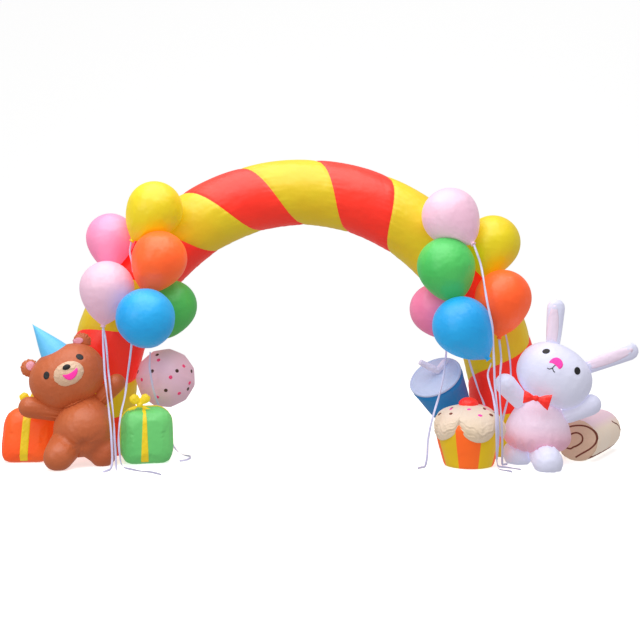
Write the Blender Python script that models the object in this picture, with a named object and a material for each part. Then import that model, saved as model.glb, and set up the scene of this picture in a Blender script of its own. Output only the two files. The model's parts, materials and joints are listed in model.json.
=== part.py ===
"""Inflatable party arch: a two-colour spiral tube with balloons, two animal figures, gifts and cakes.

Metres, +Z up, the front towards -Y. Positions are written from the middle of the arch's own plane,
on the floor, and FRAME_SHIFT then moves the whole model so that its box is centred on the origin.
Every inflated chamber is one filled solid, and every ribbon is a thin strip.
"""

import math
from collections import namedtuple

import bmesh
import bpy
from mathutils import Matrix, Vector

# The arch tube: half an ellipse on two short straight legs.
HALF_SPAN = 1.70
RISE = 1.833
LEG_HEIGHT = 0.335
CROWN_RADIUS = 0.272
LEG_RADIUS = 0.297
ARC_STEPS = 720
TUBE_COLUMNS = 16
SEAM_GROOVE = 0.010
# Rows of points across one stripe: its share of the stripe, and how much of the groove it has.
StripeRow = namedtuple("StripeRow", "share groove")
STRIPE_ROWS = (
    StripeRow(0.0, 1.0), StripeRow(0.12, 0.15), StripeRow(0.37, 0.0), StripeRow(0.63, 0.0), StripeRow(0.88, 0.15),
)

# Where each spiral seam crosses the tube's outer and inner edge, from the crown along the middle line.
Seam = namedtuple("Seam", "outer inner")
SEAMS = (
    Seam(-4.35, -4.15),
    Seam(-3.98, -3.80),
    Seam(-3.62, -3.44),
    Seam(-3.26, -3.08),
    Seam(-2.91, -2.73),
    Seam(-2.56, -2.44),
    Seam(-2.21, -1.92),
    Seam(-1.80, -1.42),
    Seam(-1.36, -0.91),
    Seam(-0.92, -0.43),
    Seam(-0.46, 0.01),
    Seam(0.08, 0.46),
    Seam(0.60, 0.93),
    Seam(1.12, 1.42),
    Seam(1.65, 1.93),
    Seam(2.18, 2.46),
    Seam(2.64, 2.86),
    Seam(3.08, 3.28),
    Seam(3.50, 3.70),
    Seam(3.92, 4.12),
    Seam(4.34, 4.54),
    Seam(4.76, 4.96),
)
SPIRAL_TURN = 2  # seams that one full turn round the tube moves on by

# Gaps between pieces.
PIECE_GAP = 0.0008
PRESS_GAP = 0.0008
TUBE_GAP = 0.006

# The whole model is moved by this, so that its box is centred on the origin.
FRAME_SHIFT = Vector((-0.1541, 0.3854, 0.0))

# Balloons: the middle, the radius and the way the neck points.
Balloon = namedtuple("Balloon", "name colour centre radius neck")
BALLOONS = (
    Balloon("balloon_left_yellow", "yellow", (-1.170, -0.36, 2.004), 0.220, (-0.57, -0.10, -0.81)),
    Balloon("balloon_left_pink", "pink", (-1.546, -0.25, 1.779), 0.198, (0.0, 0.0, -1.0)),
    Balloon("balloon_left_blush", "blush", (-1.536, -0.46, 1.375), 0.213, (-0.10, -0.05, -0.99)),
    Balloon("balloon_left_orange", "orange", (-1.113, -0.50, 1.606), 0.216, (-0.42, 0.10, -0.90)),
    Balloon("balloon_left_blue", "blue", (-1.202, -0.64, 1.145), 0.228, (0.0, 0.80, -0.60)),
    Balloon("balloon_left_green", "green", (-1.062, -0.26, 1.228), 0.211, (-0.35, 0.10, -0.93)),
    Balloon("balloon_right_blush", "blush", (1.175, -0.42, 1.944), 0.224, (0.50, -0.50, -0.71)),
    Balloon("balloon_right_yellow", "yellow", (1.534, -0.30, 1.736), 0.222, (-0.30, 0.0, -0.95)),
    Balloon("balloon_right_green", "green", (1.135, -0.50, 1.545), 0.228, (0.30, 0.32, -0.90)),
    Balloon("balloon_right_pink", "pink", (1.078, -0.25, 1.203), 0.205, (0.55, 0.0, -0.83)),
    Balloon("balloon_right_blue", "blue", (1.246, -0.61, 1.081), 0.230, (0.62, -0.05, -0.78)),
    Balloon("balloon_right_orange", "orange", (1.588, -0.48, 1.296), 0.222, (-0.09, 0.0, -1.0)),
)
BALLOON_SIDES = 12
BALLOON_RINGS = 7
# How much longer the lower half is than a ball, where it ends, and the neck as (radius, height) in radii.
PEAR_STRETCH = 0.31
PEAR_END = math.radians(164)
NECK_PROFILE = ((0.0, -1.46), (0.100, -1.46), (0.070, -1.40), (0.12, -1.345))

# Ribbons: cut width and thickness, and the points that each one hangs through.
RIBBON_WIDTH = 0.022
RIBBON_THICKNESS = 0.002
RIBBON_STEP = 0.05
LYING_HEIGHT = 0.24
FLOOR_Z = 0.0018
RIBBONS = {
    "ribbon_left_blush": (
        (-1.567, -0.477, 1.062), (-1.546, -0.55, 0.864), (-1.511, -0.645, 0.618), (-1.469, -0.73, 0.414),
        (-1.438, -0.795, 0.222), (-1.427, -0.825, 0.07), (-1.435, -0.87, FLOOR_Z), (-1.470, -0.95, FLOOR_Z),
    ),
    "ribbon_left_pink": (
        (-1.570, -0.258, 1.470), (-1.665, -0.26, 1.39), (-1.690, -0.30, 1.25), (-1.607, -0.39, 1.11),
        (-1.565, -0.44, 1.02), (-1.531, -0.50, 0.861), (-1.493, -0.60, 0.657), (-1.447, -0.70, 0.418),
        (-1.422, -0.765, 0.235), (-1.405, -0.80, 0.08), (-1.395, -0.84, FLOOR_Z), (-1.372, -0.92, FLOOR_Z),
    ),
    "ribbon_left_orange": (
        (-1.260, -0.465, 1.298), (-1.318, -0.415, 1.20), (-1.340, -0.420, 1.08), (-1.345, -0.47, 0.91),
        (-1.367, -0.60, 0.574), (-1.388, -0.68, 0.415), (-1.398, -0.735, 0.259), (-1.383, -0.765, 0.12),
        (-1.365, -0.785, 0.03), (-1.325, -0.815, FLOOR_Z), (-1.225, -0.90, FLOOR_Z), (-1.115, -0.965, FLOOR_Z),
        (-1.017, -1.06, FLOOR_Z),
    ),
    "ribbon_left_blue": (
        (-1.202, -0.448, 0.868), (-1.210, -0.43, 0.76), (-1.201, -0.42, 0.68), (-1.183, -0.38, 0.54),
        (-1.172, -0.235, 0.42), (-1.150, -0.195, 0.27), (-1.095, -0.195, 0.15), (-1.035, -0.20, 0.045),
        (-0.965, -0.235, FLOOR_Z), (-0.898, -0.326, FLOOR_Z), (-0.915, -0.44, FLOOR_Z), (-0.965, -0.50, FLOOR_Z),
    ),
    "ribbon_left_yellow": (
        (-1.354, -0.393, 1.738), (-1.362, -0.405, 1.66), (-1.348, -0.40, 1.58), (-1.340, -0.395, 1.50),
    ),
    "ribbon_right_blush": (
        (1.380, -0.520, 1.700), (1.395, -0.60, 1.56), (1.405, -0.70, 1.38), (1.432, -0.755, 1.20),
        (1.462, -0.765, 1.05), (1.466, -0.78, 0.84), (1.473, -0.80, 0.61), (1.487, -0.875, 0.335),
        (1.495, -0.82, 0.15), (1.503, -0.76, 0.02), (1.540, -0.765, FLOOR_Z), (1.605, -0.80, FLOOR_Z),
        (1.660, -0.86, FLOOR_Z),
    ),
    "ribbon_right_orange": (
        (1.560, -0.48, 0.970), (1.562, -0.55, 0.826), (1.535, -0.68, 0.72), (1.512, -0.775, 0.62),
        (1.512, -0.85, 0.40), (1.525, -0.82, 0.20), (1.545, -0.72, 0.05), (1.560, -0.67, FLOOR_Z),
        (1.600, -0.645, FLOOR_Z),
    ),
    "ribbon_right_yellow": (
        (1.600, -0.304, 1.120), (1.630, -0.36, 1.02), (1.648, -0.44, 0.86), (1.660, -0.455, 0.70),
        (1.652, -0.455, 0.56), (1.626, -0.44, 0.44), (1.600, -0.43, 0.32), (1.575, -0.41, 0.15),
        (1.555, -0.40, 0.02), (1.530, -0.43, FLOOR_Z), (1.505, -0.48, FLOOR_Z),
    ),
    "ribbon_right_blue": (
        (1.470, -0.650, 0.794), (1.436, -0.70, 0.715), (1.440, -0.765, 0.639), (1.455, -0.83, 0.552),
        (1.461, -0.905, 0.389), (1.475, -0.875, 0.20), (1.487, -0.82, 0.05), (1.500, -0.855, FLOOR_Z),
        (1.545, -0.905, FLOOR_Z), (1.575, -0.955, FLOOR_Z),
    ),
    "ribbon_right_green": (
        (1.250, -0.383, 1.220), (1.266, -0.368, 1.12), (1.285, -0.385, 0.95), (1.326, -0.42, 0.82),
        (1.360, -0.43, 0.704), (1.415, -0.40, 0.555), (1.470, -0.345, 0.42), (1.495, -0.335, 0.20),
        (1.497, -0.34, 0.03), (1.520, -0.36, FLOOR_Z), (1.575, -0.38, FLOOR_Z),
    ),
    "ribbon_right_pink": (
        (1.172, -0.25, 0.902), (1.150, -0.40, 0.83), (1.118, -0.56, 0.72), (1.072, -0.68, 0.57),
        (1.008, -0.76, 0.403), (0.970, -0.775, 0.227), (0.962, -0.775, 0.09), (0.945, -0.765, FLOOR_Z),
        (0.915, -0.785, FLOOR_Z), (0.885, -0.82, FLOOR_Z),
    ),
}

# The bear stands in front of the left leg, its head tilted up to the right.
BEAR_HEAD = Vector((-1.832, -0.545, 0.684))
BEAR_TILT = math.radians(27)
BEAR_TURN = math.radians(14)
HEAD_RADII = Vector((0.298, 0.238, 0.236))
HEAD_POWER = 2.2
BEAR_TORSO = Vector((-1.682, -0.505, 0.0))
TORSO_LEAN = math.radians(-7)
BEAR_TORSO_PROFILE = (
    (0.0, 0.075), (0.12, 0.080), (0.20, 0.125), (0.238, 0.205), (0.236, 0.29),
    (0.212, 0.38), (0.176, 0.46), (0.13, 0.53), (0.08, 0.58), (0.0, 0.60),
)
TORSO_DEPTH = 0.90
EAR_OFFSET = Vector((0.222, 0.025, 0.188))
EAR_RADII = Vector((0.076, 0.036, 0.076))
HAT_RADIUS = 0.116
HAT_HEIGHT = 0.290
HAT_FOOT = 0.196
HAT_LEAN = math.radians(9)
MUZZLE_RADII = Vector((0.128, 0.060, 0.100))
MUZZLE_OFFSET = Vector((0.022, -0.205, 0.026))
NOSE_RADII = Vector((0.034, 0.016, 0.025))
NOSE_OFFSET = Vector((0.036, -0.250, 0.081))

# The rabbit stands in front of the right leg, its head tilted the other way.
RABBIT_HEAD = Vector((1.973, -0.575, 0.694))
RABBIT_TILT = math.radians(-31)
RABBIT_TURN = math.radians(-13)
RABBIT_DRESS = Vector((1.836, -0.560, 0.0))
DRESS_LEAN = math.radians(3)
DRESS_PROFILE = (
    (0.0, 0.105), (0.16, 0.110), (0.236, 0.140), (0.264, 0.190), (0.262, 0.240),
    (0.238, 0.320), (0.198, 0.400), (0.155, 0.470), (0.10, 0.530), (0.0, 0.555),
)
# The rabbit's ears: root and tip in the head's own axes.
RABBIT_EAR_LEFT = (Vector((-0.108, 0.0, 0.150)), Vector((-0.262, 0.0, 0.456)))
RABBIT_EAR_RIGHT = (Vector((0.171, 0.0, 0.172)), Vector((0.393, 0.0, 0.461)))
RABBIT_EAR_ROOT = 0.057
RABBIT_EAR_TIP = 0.072
RABBIT_EAR_FLATTEN = 0.62

# Limbs: the middle of the rounded root and of the rounded end, and the radius at each.
Limb = namedtuple("Limb", "name root end root_radius end_radius")
LIMBS = (
    Limb("bear_arm_left", (-1.800, -0.560, 0.385), (-2.093, -0.680, 0.458), 0.066, 0.082),
    Limb("bear_arm_right", (-1.640, -0.500, 0.440), (-1.457, -0.515, 0.628), 0.062, 0.072),
    Limb("bear_leg_left", (-1.780, -0.560, 0.235), (-1.832, -0.850, 0.100), 0.135, 0.112),
    Limb("bear_leg_right", (-1.615, -0.520, 0.225), (-1.540, -0.650, 0.100), 0.135, 0.112),
    Limb("rabbit_arm_left", (1.750, -0.580, 0.450), (1.585, -0.620, 0.630), 0.066, 0.082),
    Limb("rabbit_arm_right", (1.960, -0.590, 0.345), (2.240, -0.640, 0.473), 0.066, 0.082),
    Limb("rabbit_leg_left", (1.745, -0.520, 0.160), (1.702, -0.550, 0.080), 0.118, 0.120),
    Limb("rabbit_leg_right", (1.875, -0.620, 0.110), (1.866, -0.856, 0.062), 0.115, 0.114),
)
LIMB_SIDES = 12
LIMB_CAP_RINGS = 3

# Bows: each leaf leaves the knot at an angle above +X; its rows are (distance, half height, half depth).
Bow = namedtuple("Bow", "name colour centre turn knot leaves")
Leaf = namedtuple("Leaf", "angle sections")
GIFT_LOOP = ((0.012, 0.012, 0.010), (0.040, 0.034, 0.021), (0.072, 0.042, 0.024), (0.100, 0.024, 0.015))
GIFT_TAIL = ((0.010, 0.010, 0.004), (0.055, 0.016, 0.004), (0.095, 0.021, 0.004))
TIE_WING = ((0.015, 0.017, 0.014), (0.060, 0.042, 0.024), (0.095, 0.055, 0.018))
TIE_WING_LARGE = ((0.015, 0.018, 0.014), (0.065, 0.048, 0.026), (0.108, 0.066, 0.018))
LEAF_SIDES = 8
GIFT_LEAVES = (Leaf(50, GIFT_LOOP), Leaf(130, GIFT_LOOP), Leaf(-32, GIFT_TAIL), Leaf(-155, GIFT_TAIL))
BOWS = (
    Bow("gift_green_bow", "ribbon_yellow", (-1.258, -0.590, 0.462), 14, 0.022, GIFT_LEAVES),
    Bow("gift_orange_bow", "ribbon_yellow", (-2.150, -0.480, 0.462), 4, 0.022, GIFT_LEAVES),
    Bow("rabbit_bow", "bow_red", (1.782, -0.812, 0.541), -14, 0.026,
        (Leaf(174, TIE_WING), Leaf(-16, TIE_WING_LARGE))),
)

# Gifts: puffed boxes with a crossed band. The size is the full width, depth and height.
Gift = namedtuple("Gift", "name colour centre size turn lean")
GIFTS = (
    Gift("gift_green", "gift_green", (-1.232, -0.455, 0.0), (0.400, 0.370, 0.440), 14, 0.0),
    Gift("gift_orange", "gift_orange", (-2.190, -0.400, 0.0), (0.392, 0.370, 0.430), 4, 0.09),
)
BOX_POWER = 6
BOX_TAPER = 0.05
BOX_CUTS = 5
BOX_SINK = 0.012
BAND_WIDTH = 0.062
BAND_INNER = 0.0012
BAND_OUTER = (0.0040, 0.0060)

# Sweets on the inner sides of the legs.
BALL_CENTRE = Vector((-1.132, -0.10, 0.627))
BALL_RADIUS = 0.242
CUPCAKE_CENTRE = Vector((1.300, -0.640, 0.0))
CASE_PROFILE = (
    (0.0, 0.0), (0.150, 0.0), (0.184, 0.014), (0.205, 0.060), (0.235, 0.160), (0.258, 0.260),
    (0.264, 0.320), (0.230, 0.345), (0.0, 0.350),
)
CASE_PANELS = 8
ICING_RADIUS = 0.290
ICING_TOP = 0.478
ICING_LOBES = 6
ICING_TURN = math.radians(-20)
LOBE_BOTTOM = 0.215
LOBE_CUSP = 0.335
CHERRY_CENTRE = Vector((1.296, -0.640, 0.478))
CHERRY_RADII = Vector((0.076, 0.076, 0.052))
CUP_LID_CENTRE = Vector((1.073, -0.400, 0.652))
CUP_AXIS = Vector((-0.43, -0.50, 0.75)).normalized()
CUP_LENGTH = 0.42
CUP_PROFILE = (
    (0.0, -CUP_LENGTH), (0.125, -CUP_LENGTH), (0.150, -CUP_LENGTH + 0.03), (0.178, -0.26),
    (0.206, -0.08), (0.216, -0.02), (0.205, 0.0), (0.0, 0.0),
)
LID_PROFILE = (
    (0.0, 0.0), (0.206, 0.0), (0.218, 0.010), (0.214, 0.024), (0.190, 0.030), (0.10, 0.032), (0.0, 0.033),
)
STRAW_POINTS = ((-0.137, -0.060, 0.138), (-0.090, -0.045, 0.112), (-0.040, -0.030, 0.085),
                (0.0095, -0.019, 0.066), (0.045, 0.010, 0.098), (0.077, 0.038, 0.136))
STRAW_RADII = (0.024, 0.027, 0.031, 0.035, 0.031, 0.027)
ROLL_FRONT = Vector((2.180, -0.470, 0.166))
ROLL_BACK = Vector((2.560, 0.170, 0.166))
ROLL_RADIUS = 0.172

COLOURS = {
    "red": (0.870, 0.032, 0.012), "yellow": (0.791, 0.578, 0.021), "pink": (0.870, 0.305, 0.515),
    "blush": (0.807, 0.578, 0.701), "orange": (0.950, 0.127, 0.026), "blue": (0.013, 0.352, 0.831),
    "green": (0.070, 0.429, 0.090), "brown": (0.456, 0.114, 0.045), "white": (0.730, 0.716, 0.831),
    "cream": (0.753, 0.610, 0.402), "hat_blue": (0.156, 0.578, 0.870), "dress_pink": (0.831, 0.610, 0.701),
    "bow_red": (0.920, 0.032, 0.021), "ribbon_yellow": (0.870, 0.679, 0.026), "gift_green": (0.114, 0.515, 0.127),
    "gift_orange": (0.950, 0.114, 0.012), "ball_pink": (0.610, 0.402, 0.515), "case_orange": (0.950, 0.156, 0.021),
    "icing": (0.831, 0.679, 0.485), "cup_blue": (0.026, 0.188, 0.456), "lid_white": (0.578, 0.645, 0.831),
    "cake_tan": (0.610, 0.456, 0.328), "ribbon_white": (0.753, 0.716, 0.870), "nose_black": (0.017, 0.013, 0.017),
}
CLOTH_ROUGHNESS = 0.55


def clear_scene():
    for old in list(bpy.data.objects):
        bpy.data.objects.remove(old, do_unlink=True)


def cloth(colour):
    """The Principled material of one colour, made once."""
    found = bpy.data.materials.get(colour)
    if found:
        return found
    made = bpy.data.materials.new(colour)
    made.use_nodes = True
    shader = made.node_tree.nodes["Principled BSDF"]
    shader.inputs["Base Color"].default_value = (*COLOURS[colour], 1.0)
    shader.inputs["Roughness"].default_value = CLOTH_ROUGHNESS
    shader.inputs["Metallic"].default_value = 0.0
    return made


def piece(name, mesh, colour, helper=False):
    """An object made from a bmesh, which is then freed. A helper is left out of the part."""
    data = bpy.data.meshes.new(name)
    bmesh.ops.recalc_face_normals(mesh, faces=mesh.faces)
    mesh.to_mesh(data)
    mesh.free()
    made = bpy.data.objects.new(name, data)
    bpy.context.scene.collection.objects.link(made)
    if helper:
        made.hide_render = True
        made.display_type = "WIRE"
        return made
    made.data.materials.append(cloth(colour))
    made.location = FRAME_SHIFT
    data.shade_smooth()
    return made


def grown(mesh_object, by):
    """A bmesh of the object's own mesh with each point moved outwards."""
    mesh = bmesh.new()
    mesh.from_mesh(mesh_object.data)
    mesh.normal_update()
    for vertex in mesh.verts:
        vertex.co += vertex.normal * by
    return mesh


def trim(made, *neighbours, gap=PIECE_GAP):
    """Cuts the piece back so that it meets each neighbour face to face, a hair apart."""
    for number, neighbour in enumerate(neighbours):
        cutter = piece(f"cut_{made.name}_{number}", grown(neighbour, gap), None, helper=True)
        cutter.location = neighbour.location
        cut = made.modifiers.new(f"meet {neighbour.name}", "BOOLEAN")
        cut.operation = "DIFFERENCE"
        cut.solver = "EXACT"
        cut.object = cutter


def lathe(profile, sides):
    """A turned solid about +Z. The profile runs from one pole to the other as (radius, height)."""
    mesh = bmesh.new()
    line = [mesh.verts.new((radius, 0.0, height)) for radius, height in profile]
    edges = [mesh.edges.new(pair) for pair in zip(line, line[1:])]
    bmesh.ops.spin(mesh, geom=line + edges, cent=(0, 0, 0), axis=(0, 0, 1),
                   angle=math.tau, steps=sides, use_merge=True)
    bmesh.ops.remove_doubles(mesh, verts=mesh.verts, dist=1e-6)
    return mesh


def ellipsoid(radii, sides, rings):
    mesh = bmesh.new()
    bmesh.ops.create_uvsphere(mesh, u_segments=sides, v_segments=rings, radius=1.0,
                              matrix=Matrix.Diagonal((*radii, 1.0)))
    return mesh


def moved(mesh, matrix):
    bmesh.ops.transform(mesh, matrix=matrix, verts=mesh.verts)
    return mesh


def facing(origin, direction):
    """The matrix that stands +Z along a direction at a place."""
    turn = Vector((0, 0, 1)).rotation_difference(Vector(direction))
    return Matrix.Translation(origin) @ turn.to_matrix().to_4x4()


def rest_on_floor(mesh, floor=0.0):
    """Flattens whatever reaches below the floor."""
    for vertex in mesh.verts:
        vertex.co.z = max(vertex.co.z, floor)


def press(mesh, point, normal):
    """Flattens the solid against a plane, on the side that the normal points to."""
    for vertex in mesh.verts:
        beyond = (vertex.co - point).dot(normal)
        if beyond > 0:
            vertex.co -= normal * beyond


def arc_table():
    """(distance from the crown, angle from the crown) along a quarter of the ellipse."""
    rows, distance = [(0.0, 0.0)], 0.0
    step = math.pi / 2 / ARC_STEPS
    for i in range(ARC_STEPS):
        middle = (i + 0.5) * step
        distance += step * math.hypot(HALF_SPAN * math.cos(middle), RISE * math.sin(middle))
        rows.append((distance, (i + 1) * step))
    return rows


ARC_ROWS = arc_table()
QUARTER_LENGTH = ARC_ROWS[-1][0]


def arch_point(distance):
    """The middle line at a distance from the crown: its place, its outward normal and the radius."""
    side = math.copysign(1.0, distance)
    along = abs(distance)
    share = min(1.0, along / QUARTER_LENGTH)
    radius = CROWN_RADIUS + (LEG_RADIUS - CROWN_RADIUS) * share
    if along >= QUARTER_LENGTH:
        place = Vector((side * HALF_SPAN, 0, LEG_HEIGHT - (along - QUARTER_LENGTH)))
        return place, Vector((side, 0, 0)), radius
    low, high = 0, len(ARC_ROWS) - 1
    while high - low > 1:
        middle = (low + high) // 2
        low, high = (middle, high) if ARC_ROWS[middle][0] <= along else (low, middle)
    part = (along - ARC_ROWS[low][0]) / (ARC_ROWS[high][0] - ARC_ROWS[low][0])
    angle = ARC_ROWS[low][1] + part * (ARC_ROWS[high][1] - ARC_ROWS[low][1])
    place = Vector((side * HALF_SPAN * math.sin(angle), 0, LEG_HEIGHT + RISE * math.cos(angle)))
    normal = Vector((side * RISE * math.sin(angle), 0, HALF_SPAN * math.cos(angle))).normalized()
    return place, normal, radius


def seam_crossing(number, edge):
    """Where a seam, or a line between two seams, crosses the outer edge (0) or the inner edge (1)."""
    number = min(max(number, 0.0), len(SEAMS) - 1.001)
    low = int(number)
    part = number - low
    return SEAMS[low][edge] * (1 - part) + SEAMS[low + 1][edge] * part


def spiral_distance(number, turn):
    """Where seam line number is, along the tube, at a turn round it in half turns from the outer edge."""
    half = math.floor(turn)
    part = turn - half
    before, start, end, after = (
        seam_crossing(number + n, 0) if n % 2 == 0 else seam_crossing(number + n - 1, 1)
        for n in range(half - 1, half + 3)
    )
    first = (end - before) / 2
    last = (after - start) / 2
    square, cube = part * part, part * part * part
    return (start * (2 * cube - 3 * square + 1) + first * (cube - 2 * square + part)
            + end * (3 * square - 2 * cube) + last * (cube - square))


def arch_tube():
    """The tube, its points laid along the spiral seams, cut flat at the floor under each leg."""
    mesh = bmesh.new()
    rows = []
    for stripe in range(1, len(SEAMS) - 2 * SPIRAL_TURN):
        for row in STRIPE_ROWS:
            ring = []
            for column in range(TUBE_COLUMNS):
                turn = 2.0 * column / TUBE_COLUMNS
                place, normal, radius = arch_point(spiral_distance(stripe + row.share, turn))
                angle = math.pi * turn
                outward = normal * math.cos(angle) + Vector((0, -1, 0)) * math.sin(angle)
                ring.append(mesh.verts.new(place + outward * (radius - SEAM_GROOVE * row.groove)))
            rows.append(ring)
    skip = SPIRAL_TURN * len(STRIPE_ROWS)
    for i in range(len(rows) - 1):
        for column in range(TUBE_COLUMNS - 1):
            mesh.faces.new((rows[i][column], rows[i][column + 1], rows[i + 1][column + 1], rows[i + 1][column]))
        if i + skip + 1 < len(rows):
            last = TUBE_COLUMNS - 1
            mesh.faces.new((rows[i][last], rows[i + skip][0], rows[i + skip + 1][0], rows[i + 1][last]))
    bmesh.ops.bisect_plane(mesh, geom=mesh.verts[:] + mesh.edges[:] + mesh.faces[:], dist=1e-6,
                           plane_co=(0, 0, 0), plane_no=(0, 0, -1), clear_outer=True)
    rims = [edge for edge in mesh.edges if edge.is_boundary]
    bmesh.ops.contextual_create(mesh, geom=[edge for edge in rims if edge.verts[0].co.x < 0])
    bmesh.ops.contextual_create(mesh, geom=[edge for edge in rims if edge.verts[0].co.x > 0])
    return piece("arch_tube", mesh, "red")


def nearest_on_arch(point):
    """The middle line's nearest place to a point, and the tube's radius there."""
    length = QUARTER_LENGTH + LEG_HEIGHT
    steps = 400
    best = min((arch_point(length * (2 * i / steps - 1)) for i in range(steps + 1)),
               key=lambda row: (row[0] - point).length)
    return best[0], best[2]


def press_on_tube(mesh, centre, gap=TUBE_GAP):
    """Flattens a solid against the tube, where its middle is nearest to the tube."""
    place, radius = nearest_on_arch(centre)
    away = (centre - place).normalized()
    press(mesh, place + away * (radius + gap), -away)


def pear_profile(radius):
    """A balloon's outline, from the end of its neck to its top."""
    points = [(radius * r, radius * z) for r, z in NECK_PROFILE]
    for ring in range(BALLOON_RINGS + 1):
        angle = PEAR_END * (1 - ring / BALLOON_RINGS)
        stretch = 1 + PEAR_STRETCH * max(0.0, -math.cos(angle)) ** 2
        points.append((radius * math.sin(angle), radius * math.cos(angle) * stretch))
    return points


def balloons():
    for balloon in BALLOONS:
        centre = Vector(balloon.centre)
        mesh = moved(lathe(pear_profile(balloon.radius), BALLOON_SIDES),
                     facing(centre, -Vector(balloon.neck)))
        for other in BALLOONS:
            apart = Vector(other.centre) - centre
            if other is balloon or apart.length > balloon.radius + other.radius:
                continue
            reach = (apart.length_squared + balloon.radius**2 - other.radius**2) / (2 * apart.length)
            normal = apart.normalized()
            press(mesh, centre + normal * (reach - PRESS_GAP), normal)
        press_on_tube(mesh, centre)
        piece(balloon.name, mesh, balloon.colour)


def smooth_path(points, step):
    """Points about a step apart on the smooth curve through the given ones."""
    points = [Vector(p) for p in points]
    ends = [points[0] * 2 - points[1], *points, points[-1] * 2 - points[-2]]
    path = [points[0]]
    for before, start, end, after in zip(ends, ends[1:], ends[2:], ends[3:]):
        pieces = max(1, round((end - start).length / step))
        for i in range(1, pieces + 1):
            t = i / pieces
            path.append(0.5 * ((2 * start) + (end - before) * t
                               + (2 * before - 5 * start + 4 * end - after) * t * t
                               + (3 * start - before - 3 * end + after) * t**3))
    return path


def strip(points):
    """A ribbon: its face is to the front while it hangs, and up where it lies on the floor."""
    path = smooth_path(points, RIBBON_STEP)
    for place in path:
        place.z = max(place.z, FLOOR_Z)
    landed = next((i for i, place in enumerate(path[:-1]) if place.z < FLOOR_Z * 1.01), len(path) - 2)
    onward = path[landed + 1] - path[landed]
    mesh = bmesh.new()
    rings = []
    across = Vector((1, 0, 0))
    for i, place in enumerate(path):
        along = (path[min(i + 1, len(path) - 1)] - path[max(i - 1, 0)]).normalized()
        lying = min(1.0, max(0.0, 1 - (place.z - FLOOR_Z) / LYING_HEIGHT))
        hanging = along.cross(Vector((0, -1, 0))).normalized()
        flat = (along if i > landed else onward).cross(Vector((0, 0, 1)))
        flat = (flat - along * flat.dot(along)).normalized()
        hanging, flat = (side if side.dot(across) > 0 else -side for side in (hanging, flat))
        across = (hanging * (1 - lying) + flat * lying).normalized()
        side = across * (RIBBON_WIDTH / 2)
        out = across.cross(along).normalized() * (RIBBON_THICKNESS / 2)
        rings.append([mesh.verts.new(place + a * side + b * out)
                      for a, b in ((-1, -1), (1, -1), (1, 1), (-1, 1))])
    # both faces of a twisted stretch are split along the same corner line, so they stay apart
    for ring, after in zip(rings, rings[1:]):
        for k in range(4):
            one, other = (k, (k + 1) % 4) if k < 2 else ((k + 1) % 4, k)
            mesh.faces.new((ring[one], ring[other], after[other]))
            mesh.faces.new((ring[one], after[other], after[one]))
    mesh.faces.new(rings[0])
    mesh.faces.new(rings[-1])
    rest_on_floor(mesh, 0.0003)
    return mesh


def ribbons():
    for name, points in RIBBONS.items():
        piece(name, strip(points), "ribbon_white")


def limb_mesh(root, end, root_radius, end_radius):
    """A rounded limb between two places."""
    root, end = Vector(root), Vector(end)
    length = (end - root).length
    profile = []
    for ring in range(LIMB_CAP_RINGS + 1):
        angle = math.pi / 2 * (1 - ring / LIMB_CAP_RINGS)
        profile.append((root_radius * math.cos(angle), -root_radius * math.sin(angle)))
    profile.append(((root_radius + end_radius) / 2, length / 2))
    for ring in range(LIMB_CAP_RINGS + 1):
        angle = math.pi / 2 * ring / LIMB_CAP_RINGS
        profile.append((end_radius * math.cos(angle), length + end_radius * math.sin(angle)))
    return moved(lathe(profile, LIMB_SIDES), facing(root, end - root))


def head_frame(centre, turn, tilt):
    """The head's own axes: x across the face and z up the head, tilted to one side and turned inwards."""
    return Matrix.Translation(centre) @ Matrix.Rotation(turn, 4, "Z") @ Matrix.Rotation(-tilt, 4, "Y")


def head_mesh():
    """An egg with fuller cheeks than an ellipsoid."""
    mesh = ellipsoid((1, 1, 1), 20, 12)
    for vertex in mesh.verts:
        norm = sum(abs(c) ** HEAD_POWER for c in vertex.co) ** (1 / HEAD_POWER)
        vertex.co = Vector([c / norm * r for c, r in zip(vertex.co, HEAD_RADII)])
    return mesh


def limb_of(name):
    """The mesh of a limb in the table, flat where it meets the floor."""
    limb = next(row for row in LIMBS if row.name == name)
    mesh = limb_mesh(limb.root, limb.end, limb.root_radius, limb.end_radius)
    rest_on_floor(mesh)
    return mesh


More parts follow.
